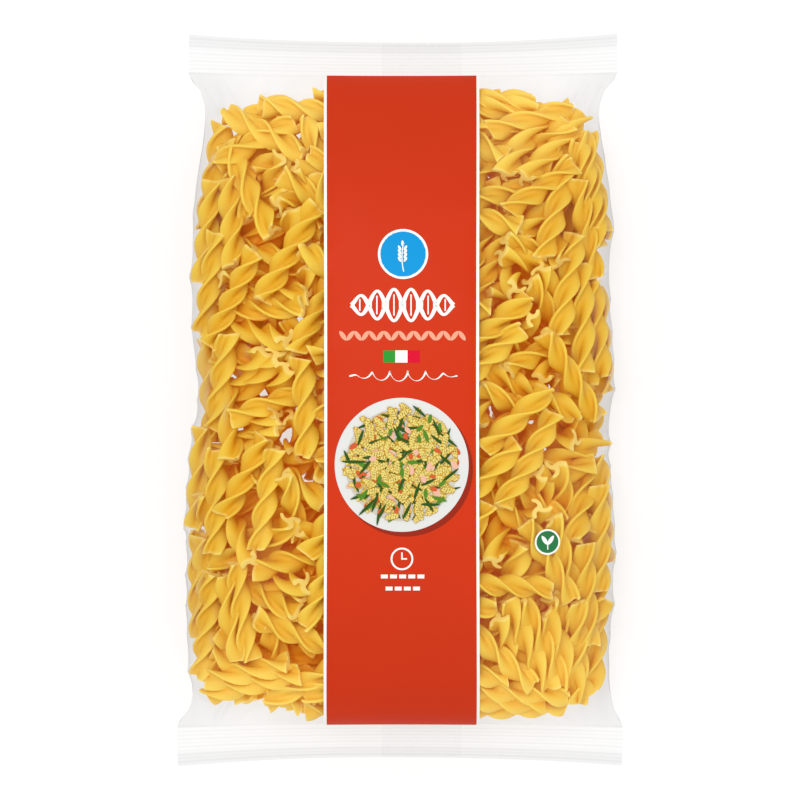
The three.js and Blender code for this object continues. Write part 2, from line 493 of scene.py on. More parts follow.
class Container:
    """The room inside the bag as a field of distances from its film, on a coarse grid.

    Attributes:
        STEP: The distance between two grid points.
        CHUNK: How many points are measured at a time.
        ROWS, COLUMNS: Steps of the film that is measured to.
    """

    STEP = 4.0
    CHUNK = 2000
    ROWS = 90
    COLUMNS = 70

    def __init__(self, shape: PackShape) -> None:
        """Measures the field.

        Args:
            shape: The pack's outer form.
        """
        rows = crowded_steps(self.ROWS)[:, None] * shape.half_root
        across = crowded_steps(self.COLUMNS)[None, :]
        sides = [shape.place(across, rows, front) for front in (True, False)]
        self.shape = shape
        self.wall = np.concatenate([side.reshape(-1, 3) for side in sides])
        self.low = self.wall.min(0) - self.STEP
        counts = np.ceil((self.wall.max(0) + self.STEP - self.low) / self.STEP).astype(int) + 1
        axes = [self.low[i] + self.STEP * np.arange(counts[i]) for i in range(3)]
        self.centre = np.stack(np.meshgrid(*axes, indexing="ij"), axis=-1)
        depth = self.depth_of(self.centre.reshape(-1, 3)).reshape(counts)
        slopes = np.gradient(depth, self.STEP)
        self.field = np.stack([depth, *slopes], axis=-1)

    def depth_of(self, places: Array) -> Array:
        """Depth inside the film: the distance to its nearest point, negative outside.

        Args:
            places: Points, n by 3.

        Returns:
            One depth a point.
        """
        wall = self.wall.astype(np.float32)
        square = (wall**2).sum(1)
        depths = []
        for start in range(0, len(places), self.CHUNK):
            part = places[start : start + self.CHUNK].astype(np.float32)
            nearest = np.argmin(square[None] - 2 * part @ wall.T, axis=1)
            size = np.linalg.norm(self.wall[nearest] - part, axis=1)
            depths.append(np.where(self.shape.holds(part), size, -size))
        return np.concatenate(depths)

    def sample(self, places: Array) -> tuple[Array, Array]:
        """Reads the field between its grid points.

        Args:
            places: Points, n by 3.

        Returns:
            The depths, and the unit directions in which the depth grows.
        """
        share = (places - self.low) / self.STEP
        top = np.array(self.field.shape[:3]) - 1.001
        share = np.clip(share, 0, top)
        cell = share.astype(int)
        share = share - cell
        read = np.zeros((len(places), 4))
        for corner in np.ndindex(2, 2, 2):
            near = np.array(corner)
            weight = np.prod(np.where(near, share, 1 - share), axis=1)
            index = cell + near
            read += weight[:, None] * self.field[index[:, 0], index[:, 1], index[:, 2]]
        size = np.maximum(1e-6, np.linalg.norm(read[:, 1:], axis=1, keepdims=True))
        return read[:, 0], read[:, 1:] / size


@dataclass
class Poses:
    """Where each spiral lies and how it was made. Every array has one row a spiral.

    Attributes:
        ends: The two ends of its axis, n by 2 by 3.
        radius: The radius to its blade tips.
        pitch: The length of one full turn.
        phase: How far it is turned about its axis.
        bend: How far the middle of its axis bows out.
        cuts: Slopes of its two cut ends, n by 2 by 2.
        shade: Its lightness, from 0 to 1.
    """

    ends: Array
    radius: Array
    pitch: Array
    phase: Array
    bend: Array
    cuts: Array
    shade: Array

    def only(self, chosen: Array) -> "Poses":
        """The poses of the spirals whose numbers are chosen."""
        return Poses(*(getattr(self, name)[chosen] for name in self.__dataclass_fields__))


@dataclass(frozen=True)
class Spiral:
    """One pasta spiral: three curled blades round an axis, twisted along it.

    Attributes:
        radius: From the axis to a blade's tip.
        blade: The thickness of a blade.
        curl: How far a blade's tip turns past its root, in radians.
        stations: Cross-sections along the length.
        blades: How many blades it has.

        SHARES: Shares of the radius at which a blade's faces have points.
        SWELL: The blade's thickness there, against the named one.
        TIP: Directions of the points round a blade's tip, in degrees.
        CROWDING: How far the stations crowd towards the cut ends.
        END: The shares of the half length between which a cut end begins.
    """

    radius: float = 4.55
    blade: float = 1.5
    curl: float = 0.95
    stations: int = 23
    blades: int = 3

    SHARES = (0.26, 0.46, 0.66, 0.85)
    SWELL = (1.2, 1.0, 1.0, 0.95)
    TIP = (40.0, 90.0, 140.0)
    CROWDING = 0.35
    END = (0.94, 1.0)

    def section(self) -> tuple[Array, Array]:
        """The cross-section: out along each blade's one face, round its tip and back.

        Returns:
            Points round the section for a radius of 1 mm, and how near each is to a tip.
        """
        share = np.array(self.SHARES)
        turn = self.curl * share**1.6
        half = 0.5 * self.blade / self.radius * np.array(self.SWELL)
        middle = np.stack([np.cos(turn), np.sin(turn)], -1) * share[:, None]
        slope = np.gradient(middle, axis=0)
        slope /= np.linalg.norm(slope, axis=1, keepdims=True)
        side = np.stack([slope[:, 1], -slope[:, 0]], -1)
        one = middle + side * half[:, None]
        other = middle - side * half[:, None]
        round_tip = np.radians(self.TIP)[:, None]
        cap = side[-1] * np.cos(round_tip) + slope[-1] * np.sin(round_tip)
        tip = middle[-1] + half[-1] * cap
        blade = np.concatenate([one, tip, other[::-1]])
        near = np.concatenate([share, np.ones(len(self.TIP)), share[::-1]])
        parts = []
        for k in range(self.blades):
            angle = 2 * math.pi * k / self.blades
            c, s = math.cos(angle), math.sin(angle)
            parts.append(blade @ np.array([[c, s], [-s, c]]))
        return np.concatenate(parts), np.tile(near**1.5, self.blades)

    def cap(self) -> Array:
        """Triangles that fill the section: strips along the blades and a fan in the middle.

        Returns:
            Numbers of the section's points, n by 3.
        """
        count = len(self.section()[0]) // self.blades
        triangles = []
        for k in range(self.blades):
            first = k * count
            for i in range(count // 2 - 1):
                a, b = first + i, first + i + 1
                c, d = first + count - 2 - i, first + count - 1 - i
                triangles += [(a, b, c), (a, c, d)]
            tip = first + count // 2
            triangles.append((tip - 1, tip, tip + 1))
        roots = [k * count + i for k in range(self.blades) for i in (0, count - 1)]
        triangles += [(roots[0], roots[i], roots[i + 1]) for i in range(1, len(roots) - 1)]
        return np.array(triangles)

    def surface(self, poses: Poses) -> Surface:
        """All spirals of some poses in one surface.

        The section turns by one full turn a pitch along the axis. Towards each end the stations
        lean with the cut, and the axis bows by bend times 1 - 4w^2 at the share w of its length.

        Args:
            poses: Where the spirals lie.

        Returns:
            The joined surface, with the marks rim, shade and end.
        """
        section, rim = self.section()
        count, many = len(section), len(poses.radius)
        w = crowded_steps(self.stations - 1, self.CROWDING) / 2
        axis = poses.ends[:, 1] - poses.ends[:, 0]
        length = np.linalg.norm(axis, axis=1)
        axis = axis / length[:, None]
        helper = np.where(np.abs(axis[:, 2:]) < 0.9, [[0.0, 0.0, 1.0]], [[1.0, 0.0, 0.0]])
        across = np.cross(helper, axis)
        across /= np.linalg.norm(across, axis=1, keepdims=True)
        up = np.cross(axis, across)
        along = w[None, :] * length[:, None]
        angle = poses.phase[:, None] + 2 * math.pi * along / poses.pitch[:, None]
        c, s = np.cos(angle)[..., None], np.sin(angle)[..., None]
        scale = poses.radius[:, None, None]
        p = (section[None, None, :, 0] * c - section[None, None, :, 1] * s) * scale
        q = (section[None, None, :, 0] * s + section[None, None, :, 1] * c) * scale
        lean = (2 * np.abs(w)) ** 3
        cut = np.where(w[None, :, None] < 0, poses.cuts[:, None, 0], poses.cuts[:, None, 1])
        lift = lean[None, :, None] * (p * cut[..., 0:1] + q * cut[..., 1:2])
        p = p + (poses.bend[:, None] * (1 - 4 * w**2)[None, :])[..., None]
        middle = poses.ends.mean(1)[:, None, None]
        points = middle + (along[..., None] + lift)[..., None] * axis[:, None, None]
        points = points + p[..., None] * across[:, None, None] + q[..., None] * up[:, None, None]
        one = Surface.grid(np.zeros((self.stations, count, 3)), closed=True).faces
        sides = np.concatenate([one[:, [0, 1, 2]], one[:, [0, 2, 3]]])
        cap = self.cap()
        last = (self.stations - 1) * count
        faces = np.concatenate([sides, cap[:, ::-1], cap + last])
        starts = np.arange(many) * self.stations * count
        faces = (faces[None] + starts[:, None, None]).reshape(-1, 3)
        shape = (many, self.stations, count)
        ends = smoothstep(2 * np.abs(w), *self.END)
        marks = {
            "rim": np.broadcast_to(rim[None, None], shape).reshape(-1),
            "end": np.broadcast_to(ends[None, :, None], shape).reshape(-1),
            "shade": np.broadcast_to(poses.shade[:, None, None], shape).reshape(-1),
        }
        return Surface(points.reshape(-1, 3), faces, marks)


@dataclass
class Filling:
    """The loose pasta in the bag, packed as round-ended rods.

    The rods are dropped one by one, each where it comes to lie lowest among a few places, and
    then they push each other apart until they fill the bag.

    Attributes:
        container: The room inside the bag.
        spiral: The pasta shape.
        count: How many spirals.
        longest: The length of the longest spiral.
        slope: The spread of their slopes as they drop.
        drop_reach: The radius of a dropped rod.
        tries: The places among which a dropped rod takes the lowest.
        likeness: What a parallel neighbour counts for against lying lower.
        contact: Half the least distance between two axes, under the blades' radius, because
            the blades of neighbours lie in each other's grooves.
        steps: Rounds of pushing apart.
        last_rounds: How many of them, at the end, only push the rods off the film.
        turning: How readily a pushed rod turns, against how readily it shifts.
        outward: How much the filling spreads in each early round, as a share of its size.
        end_slack: How far a spiral's end may poke the film out, but not down.
        kept_back: How far the spirals keep off the film on the band and near the seals.
        seed: Of every random draw.

        SHORTER: How much shorter than the longest a spiral can be.
        PITCH: The mean and the spread of the length of one turn.
        UNEVEN: The spread of the radius, the bend and the slopes of the cuts.
        BALLS: Balls that stand for a rod as it drops.
        DROP_HALF: Half the width in which the rods are dropped.
        BESIDE: The share of the longest length within which a rod is a neighbour.
        PARALLEL: The cosine from which two rods count as parallel.
        PROBES: Shares along a rod at which it is kept inside the film.
        BAND: Distances from the middle between which the band ends.
        ENDS: Distances from a seal between which its keeping back ends.
        SPREADING: The share of the steps in which the filling spreads.
        PULL: How far it draws a rod out in each of them.
        ROUND_END: What a rod stops short of its spiral's ends, as a share of contact.
        BOWED: The share of a spiral's bend that its clearance from the film takes in.
        REFRESH: Steps between two searches for near pairs.
        GROWTH: The share of contact that the rods start with, and what they gain.
        PUSH, HELD_IN: The shares of the wanted moves that a step makes.
    """

    container: Container
    spiral: Spiral
    count: int = 444
    longest: float = 40.0
    slope: float = 0.9
    drop_reach: float = 3.6
    tries: int = 40
    likeness: float = 3.0
    contact: float = 3.85
    steps: int = 150
    last_rounds: int = 10
    turning: float = 0.1
    outward: float = 0.0016
    end_slack: float = 1.6
    kept_back: float = 0.6
    seed: int = 21

    SHORTER = 0.22
    PITCH = (33.5, 2.2)
    UNEVEN = (0.04, 0.5, 0.16)
    BALLS = 7
    DROP_HALF = 76.0
    BESIDE = 0.5
    PARALLEL = 0.82
    PROBES = (-0.07, 0.25, 0.5, 0.75, 1.07)
    BAND = (27.0, 36.0)
    ENDS = (4.0, 16.0)
    SPREADING = 0.6
    PULL = 0.04
    ROUND_END = 1.4
    BOWED = 0.6
    REFRESH = 8
    GROWTH = (0.85, 0.5)
    PUSH = 0.35
    HELD_IN = 0.5

    def start(self) -> Poses:
        """Drops the spirals into the bag.

        Returns:
            Their first poses.
        """
        random = np.random.default_rng(self.seed)
        length = self.longest * (1 - self.SHORTER * random.random(self.count) ** 2)
        thick, bowed, askew = self.UNEVEN
        return Poses(
            ends=self.dropped(length, random),
            radius=self.spiral.radius * random.normal(1, thick, self.count),
            pitch=random.normal(*self.PITCH, self.count),
            phase=random.uniform(0, 2 * math.pi, self.count),
            bend=random.normal(0, bowed, self.count),
            cuts=random.normal(0, askew, (self.count, 2, 2)),
            shade=random.random(self.count),
        )

    def dropped(self, length: Array, random: np.random.Generator) -> Array:
        """Drops rods as rows of balls, each to the lowest share of the bag's depth it can reach.

        Args:
            length: The rods' lengths.
            random: Draws the places, directions and slopes to try.

        Returns:
            The rods' ends, n by 2 by 3.
        """
        shape, reach = self.container.shape, self.drop_reach
        row = np.linspace(-1, 1, self.BALLS)
        half = [self.DROP_HALF, shape.half_root - 4]
        centre = self.BALLS // 2
        balls = np.empty((0, 3))
        ends = np.empty((0, 2, 3))
        for long in length:
            turn, slope = random.uniform(0, 2 * math.pi), random.normal(0, self.slope)
            axis = np.tile([math.cos(turn), math.sin(turn), slope], (self.tries, 1))
            axis *= long / 2 / np.linalg.norm(axis, axis=1, keepdims=True)
            middle = random.uniform(-1, 1, (self.tries, 2)) * half
            inner = axis * (1 - 1.2 * reach / long)
            tried = inner[:, None] * row[None, :, None]
            tried[..., :2] += middle[:, None]
            x, y, rise = tried[..., 0], tried[..., 1], tried[..., 2]
            s = shape.share_across(x, y)
            inside = (np.abs(s) < 0.99) & (np.abs(y) < shape.half_root - 2)
            s = np.clip(s, -1, 1)
            floor, ceiling = shape.back_height(x, y, s), shape.front_height(y, s)
            held = (floor + reach - rise).max(1)
            if len(balls):
                gap = ((tried[..., None, :2] - balls[None, None, :, :2]) ** 2).sum(-1)
                over = np.sqrt(np.maximum(0, 4 * reach**2 - gap)) + balls[:, 2]
                over = np.where(gap < 4 * reach**2, over, 0).max(2)
                held = np.maximum(held, (over - rise).max(1))
            spare = (ceiling - reach - held[:, None] - rise).min(1)
            low, high = floor[:, centre], ceiling[:, centre]
            level = (held - low) / np.maximum(1, high - low)
            score = level + np.maximum(0, -spare) + 100 * (~inside).any(1)
            place = np.concatenate([middle, (held + np.minimum(0, spare))[:, None]], axis=1)
            score += self.likeness * self.alike(place, axis, ends)
            best = np.argmin(score)
            put = place[best] + np.stack([-axis[best], axis[best]])
            ends = np.concatenate([ends, put[None]])
            balls = np.concatenate([balls, place[best] + inner[best] * row[:, None]])
        return ends

    def alike(self, place: Array, axis: Array, ends: Array) -> Array:
        """Counts the rods beside each tried place that lie nearly parallel to the tried rod.

        Args:
            place: The middles of the tried rods, n by 3.
            axis: Their directions.
            ends: The ends of the rods that lie there already, m by 2 by 3.

        Returns:
            One count a tried rod.
        """
        away = np.linalg.norm(place[:, None] - ends.mean(1)[None], axis=-1)
        ways = ends[:, 1] - ends[:, 0]
        size = np.linalg.norm(axis, axis=1)[:, None] * np.linalg.norm(ways, axis=1)[None]
        along = np.abs(axis @ ways.T) / size
        return ((away < self.BESIDE * self.longest) & (along > self.PARALLEL)).sum(1)

    @staticmethod
    def nearest(a: Array, b: Array) -> tuple[Array, Array]:
        """The shares along two sets of segments at which each pair is nearest.

        Args:
            a, b: Segments, n by 2 by 3.

        Returns:
            The share along each of a and along each of b.
        """
        da, db, away = a[:, 1] - a[:, 0], b[:, 1] - b[:, 0], a[:, 0] - b[:, 0]
        aa, bb, ab = (da * da).sum(1), (db * db).sum(1), (da * db).sum(1)
        ra, rb = (da * away).sum(1), (db * away).sum(1)
        flat = np.maximum(1e-6, aa * bb - ab * ab)
        s = np.clip((ab * rb - ra * bb) / flat, 0, 1)
        t = np.clip((ab * s + rb) / bb, 0, 1)
        return np.clip((ab * t - ra) / aa, 0, 1), t

    def pushed(self, rods: Array, pairs: tuple[Array, Array], reach: float) -> Array:
        """How the rods' ends move to part the rods that are too near each other.

        Args:
            rods: The rods' ends, n by 2 by 3.
            pairs: The numbers of the first and of the second rod of each pair.
            reach: Half the least distance between two axes.

        Returns:
            One move an end.
        """
        i, j = pairs
        s, t = self.nearest(rods[i], rods[j])
        here = rods[i, 0] + s[:, None] * (rods[i, 1] - rods[i, 0])
        there = rods[j, 0] + t[:, None] * (rods[j, 1] - rods[j, 0])
        away = here - there
        size = np.maximum(1e-3, np.linalg.norm(away, axis=1))
        deep = np.maximum(0, 2 * reach - size)
        share = (1 - s) ** 2 + s**2 + (1 - t) ** 2 + t**2
        push = (deep / share / size)[:, None] * away
        move = np.zeros_like(rods)
        np.add.at(move, (i, 0), (1 - s)[:, None] * push)
        np.add.at(move, (i, 1), s[:, None] * push)
        np.add.at(move, (j, 0), -(1 - t)[:, None] * push)
        np.add.at(move, (j, 1), -t[:, None] * push)
        shift = move.mean(1, keepdims=True)
        return shift + (move - shift) * self.turning

    def walled(self, rods: Array, radius: Array, pull: float) -> Array:
        """How the rods' ends move to stay inside the film.

        Args:
            rods: The rods' ends, n by 2 by 3.
            radius: How far off the film each axis keeps.
            pull: How far a rod that lies deeper is drawn out.

        Returns:
            One move an end.
        """
        shape, move = self.container.shape, np.zeros_like(rods)
        for share in self.PROBES:
            place = rods[:, 0] * (1 - share) + rods[:, 1] * share
            depth, inward = self.container.sample(place)
            free = smoothstep(shape.half_root - np.abs(place[:, 1]), *self.ENDS)
            free = free * smoothstep(np.abs(place[:, 0]), *self.BAND)
            poke = self.end_slack * (abs(share - 0.5) > 0.5) * (1 - np.maximum(0, inward[:, 2]))
            poke = poke * free - self.kept_back * (1 - free)
            deep = np.maximum(0, radius - poke - depth) - pull * (depth > radius + 0.5)
            move[:, 0] += (deep * (1 - share))[:, None] * inward
            move[:, 1] += (deep * share)[:, None] * inward
        return move

    def settle(self) -> Poses:
        """Packs the spirals.

        Returns:
            Poses in which the spirals lie against each other and the film.
        """
        poses = self.start()
        length = np.linalg.norm(poses.ends[:, 1] - poses.ends[:, 0], axis=1)
        # The rods stop short of the spirals' ends, so that their round ends reach those.
        spare = (1 - self.ROUND_END * self.contact / length)[:, None]
        middle = poses.ends.mean(1)
        half = (poses.ends[:, 1] - poses.ends[:, 0]) / 2 * spare
        rods = np.stack([middle - half, middle + half], 1)
        size = np.linalg.norm(half, axis=1, keepdims=True)
        clearance = poses.radius + self.BOWED * np.abs(poses.bend)
        for step in range(self.steps):
            if step % self.REFRESH == 0:
                middle = rods.mean(1)
                gap = np.linalg.norm(middle[:, None] - middle[None], axis=-1)
                near = gap < self.longest + 2 * self.contact
                pairs = np.nonzero(np.triu(near, 1))
            grown = min(1.0, self.GROWTH[0] + self.GROWTH[1] * step / self.steps)
            pull = self.PULL if step < self.SPREADING * self.steps else 0.0
            if step < self.steps - self.last_rounds:
                rods = rods + self.PUSH * self.pushed(rods, pairs, grown * self.contact)
            rods[..., :2] *= 1 + (self.outward if pull else 0)
            rods = rods + self.HELD_IN * self.walled(rods, clearance, pull)
            middle = rods.mean(1)
            half = rods[:, 1] - middle
            half *= size / np.maximum(1e-6, np.linalg.norm(half, axis=1, keepdims=True))
            rods = np.stack([middle - half, middle + half], 1)
        half = half / spare
        poses.ends = np.stack([middle - half, middle + half], 1)
        return poses


@dataclass
class FilmBody:
    """The clear film round the filling, from seal to seal.

    The film starts on the pack's outer form. Between the spirals it sinks towards a resting
    depth like a stretched skin, and it stays outside whatever it meets. Pleats run out from the
    seals and creases from the corners.

    Attributes:
        shape: The pack's outer form.
        rows: Steps along the pack.
        front_steps: Steps across the front.
        back_steps: Steps across the back.
        slack: How deep the film rests where it meets nothing.
        hold: How firmly it keeps to that depth, against its neighbours.
        rounds: Rounds of the skin's settling.
        clear: How far the film stays off the pasta.
        search, deepest: How far outside and inside its form the pasta is looked for.
        calm_middle, calm_half, calm_blend: The middle and half width of the strip in which the
            film stays smooth, and the way in which it turns uneven beside it.
        seed: Of the pleats and the creases.

        LEVEL: Rounds of lowest and of mean values that make the smooth part's level.
        NEAR_SEAL, NEAR_FLOOR: The ways from these within which the film stays put.
        CALMED: How much less the smooth part sinks.
        PLEATS: How many pleats are added up.
        PLEAT: Their height.
        PLEAT_LENGTH, PLEAT_REACH, PLEAT_LEAN: The ranges of their waves, depths and slants.
        CREASES: How many creases run out from each corner.
        CREASE_SLOPE, CREASE_LENGTH, CREASE_START: The ranges of their slopes in degrees,
            lengths and starts across the pack.
        CREASE_WIDTH, CREASE_HEIGHT: The ranges of their widths and heights.
        SIDES: Shares across the pack between which the painted shade along the sides sets in.
        ROOT: Distances from a seal between which the mark root fades.
        FLOOR: The least height of the film.
    """

    shape: PackShape
    rows: int = 230
    front_steps: int = 160
    back_steps: int = 100
    slack: float = 2.4
    hold: float = 0.012
    rounds: int = 260
    clear: float = 0.15
    search: float = 3.0
    deepest: float = 9.0
    calm_middle: float = 0.9
    calm_half: float = 27.4
    calm_blend: float = 3.0
    seed: int = 5

    LEVEL = (9, 14)
    NEAR_SEAL = 14.0
    NEAR_FLOOR = 3.0
    CALMED = 0.8
    PLEATS = 14
    PLEAT = 0.22
    PLEAT_LENGTH = (5, 17)
    PLEAT_REACH = (5, 16)
    PLEAT_LEAN = (-0.25, 0.25)
    CREASES = 4
    CREASE_SLOPE = (38, 74)
    CREASE_LENGTH = (16, 34)
    CREASE_START = (66, 77)
    CREASE_WIDTH = (0.8, 1.6)
    CREASE_HEIGHT = (0.4, 0.9)
    SIDES = (0.66, 0.98)
    ROOT = (0.5, 4.0)
    FLOOR = 0.03

    def __post_init__(self) -> None:
        """Lays the places along and across the pack."""
        self.along = crowded_steps(self.rows) * self.shape.half_root
        self.across = crowded_steps(self.front_steps)
        self.behind = crowded_steps(self.back_steps)[::-1]
        self.points = np.empty(0)

    def rest(self) -> Array:
        """Lays the film on the pack's outer form.

        Returns:
            Rows of rings, each along the front first and then along the back.
        """
        y = self.along[:, None]
        front = self.shape.place(self.across[None, :], y, True)
        back = self.shape.place(self.behind[None, 1:-1], y, False)
        return np.concatenate([front, back], axis=1)

    @staticmethod
    def normals(points: Array) -> Array:
        """Unit normals of closed rings: column step cross row step.

        Args:
            points: Rows of rings.

        Returns:
            One normal a point, outwards.
        """
        rows = np.gradient(points, axis=0)
        columns = np.roll(points, -1, axis=1) - np.roll(points, 1, axis=1)
        normal = np.cross(columns, rows)
        return normal / np.maximum(1e-9, np.linalg.norm(normal, axis=-1, keepdims=True))

    def room(self, points: Array, normals: Array, pasta: Surface) -> Array:
        """How far each film point can sink along its normal before it meets the pasta.

        A copy of the film is held a little outside and shrunk onto the pasta.

        Args:
            points: The film's rings.
            normals: Their outward normals.
            pasta: All spirals.

        Returns:
            A depth a point, negative where the pasta stands out of the form.
        """
        outside = Surface.grid(points + self.search * normals, closed=True)
        probe = bpy.data.objects.new("probe", outside.mesh("probe"))
        target = bpy.data.objects.new("target", pasta.mesh("target"))
        for made in (probe, target):
            bpy.context.scene.collection.objects.link(made)
        wrap = probe.modifiers.new("wrap", "SHRINKWRAP")
        wrap.wrap_method = "PROJECT"
        wrap.use_negative_direction = True
        wrap.use_positive_direction = False
        wrap.project_limit = (self.search + self.deepest) * MM
        wrap.target = target
        graph = bpy.context.evaluated_depsgraph_get()
        shrunk = probe.evaluated_get(graph).to_mesh()
        found = np.empty(len(outside.points) * 3, np.float32)
        shrunk.vertices.foreach_get("co", found)
        moved = np.linalg.norm(found.reshape(-1, 3) / MM - outside.points, axis=1)
        for made in (probe, target):
            mesh = made.data
            bpy.data.objects.remove(made)
            bpy.data.meshes.remove(mesh)
        moved = np.where(moved < 1e-4, self.search + self.deepest, moved)
        return moved.reshape(points.shape[:2]) - self.search - self.clear

    @staticmethod
    def spread(values: Array, rounds: int, lowest: bool) -> Array:
        """Takes the lowest, or the mean, of each value and its four neighbours, again and again.

        Args:
            values: A value for each point of the film's rings.
            rounds: How often.
            lowest: Whether the lowest is taken, and not the mean.

        Returns:
            The new values.
        """
        for _ in range(rounds):
            padded = np.pad(values, ((1, 1), (0, 0)), mode="edge")
            near = [values, padded[2:], padded[:-2]]
            near += [np.roll(values, 1, axis=1), np.roll(values, -1, axis=1)]
            values = np.min(near, axis=0) if lowest else np.mean(near, axis=0)
        return values

    def calm(self, points: Array) -> Array:
        """Where the film stays smooth: on the printed band and on the back behind it.

        Args:
            points: The film's rings.

        Returns:
            1 there and 0 beside it, one value a point.
        """
        x = points[..., 0]
        beyond = np.abs(x - self.calm_middle) - self.calm_half
        return 1 - smoothstep(beyond, -self.calm_blend, self.calm_blend)

    def pleats(self, points: Array) -> Array:
        """Soft pleats across the ends: waves in x that fade away from the seals.

        Args:
            points: The film's rings.

        Returns:
            How far each point stands out.
        """
        random = np.random.default_rng(self.seed)
        x, y = points[..., 0], points[..., 1]
        away = self.shape.half_root - np.abs(y)
        total = np.zeros(x.shape)
        for _ in range(self.PLEATS):
            length, phase = random.uniform(*self.PLEAT_LENGTH), random.uniform(0, 6.3)
            height, reach = random.random(), random.uniform(*self.PLEAT_REACH)
            lean = random.uniform(*self.PLEAT_LEAN)
            end = random.choice([-1, 1])
            fade = np.where(y * end > 0, np.exp(-((away / reach) ** 2)), 0)
            total += height * fade * np.cos(2 * math.pi * (x + lean * away) / length + phase)
        return self.PLEAT * total * smoothstep(away, 0, 2.5)

    def creases(self, points: Array) -> Array:
        """Sharp creases from the corners: ridges that rise and fade along slanting lines.

        Args:
            points: The film's rings.

        Returns:
            How far each point stands out.
        """
        random = np.random.default_rng(self.seed + 1)
        x, y, z = points[..., 0], points[..., 1], points[..., 2]
        total = np.zeros(x.shape)
        for side in (-1, 1):
            for end in (-1, 1):
                for _ in range(self.CREASES):
                    slope = math.radians(random.uniform(*self.CREASE_SLOPE))
                    length = random.uniform(*self.CREASE_LENGTH)
                    start = np.array([side * random.uniform(*self.CREASE_START),
                                      end * self.shape.half_root])
                    way = np.array([-side * math.cos(slope), -end * math.sin(slope)])
                    dx, dy = x - start[0], y - start[1]
                    run = (dx * way[0] + dy * way[1]) / length
                    off = dx * way[1] - dy * way[0]
                    width = random.uniform(*self.CREASE_WIDTH)
                    height = random.uniform(*self.CREASE_HEIGHT)
                    body = np.clip(run, 0, 1) * np.clip(1 - run, 0, 1) * 4
                    total += height * body * np.exp(-((off / width) ** 2))
        return total * (z > self.shape.seal_height - 1)

    def drape(self, pasta: Surface) -> Surface:
        """Lays the film over the filling.

        Args:
            pasta: All spirals.

        Returns:
            The film's surface, which is also kept for the print.
        """
        points = self.rest()
        normals = self.normals(points)
        room = self.spread(self.room(points, normals, pasta), 1, True)
        calm = self.calm(points)
        level = self.spread(self.spread(room, self.LEVEL[0], True), self.LEVEL[1], False)
        room = np.minimum(room, room + (level - room) * calm)
        y = np.abs(points[..., 1])
        away = smoothstep(self.shape.half_root - y, 0, self.NEAR_SEAL)
        floor = smoothstep(points[..., 2], 0.0, self.NEAR_FLOOR)
        rest = self.slack * away * (1 - self.CALMED * calm) * floor
        sink = np.minimum(room, rest)
        for _ in range(self.rounds):
            near = self.spread(sink, 1, False)
            sink = np.minimum(room, (1 - self.hold) * near + self.hold * rest)
            sink[0] = sink[-1] = 0
        lift = self.pleats(points) + self.creases(points)
        points = points + normals * (lift * (1 - calm) - sink)[..., None]
        points[..., 2] = np.maximum(points[..., 2], self.FLOOR)
        self.points = points
        made = Surface.grid(points, closed=True)
        # Painted shade: the film is greyer along both sides.
        made.marks["dull"] = self.dullness()
        from_seal = self.shape.half_root - np.abs(made.points[:, 1])
        made.marks["root"] = 1 - smoothstep(from_seal, *self.ROOT)
        return made

    def dullness(self) -> Array:
        """How much greyer the film is: painted shade along both sides.

        Returns:
            1 there and 0 in the middle, one value a point.
        """
        share = np.concatenate([self.across, self.behind[1:-1]])
        side = smoothstep(np.abs(share), *self.SIDES)
        return np.tile(side, self.rows + 1)

    def height(self, x: Array, y: Array) -> Array:
        """The height of the draped front at places seen from above.

        Args:
            x: Places across the pack.
            y: Places along the pack.

        Returns:
            One height a place.
        """
        s = np.clip(self.shape.share_across(x, y), -1, 1)
        pull = 1 - self.shape.root_pull / self.shape.half_root * (1 - s * s)
        row = np.interp(y / pull, self.along, np.arange(self.rows + 1))
        column = np.interp(s, self.across, np.arange(self.front_steps + 1))
        r = np.minimum(row.astype(int), self.rows - 1)
        c = np.minimum(column.astype(int), self.front_steps - 1)
        a, b = row - r, column - c
        z = self.points[..., 2]
        low = z[r, c] * (1 - b) + z[r, c + 1] * b
        high = z[r + 1, c] * (1 - b) + z[r + 1, c + 1] * b
        return low * (1 - a) + high * a


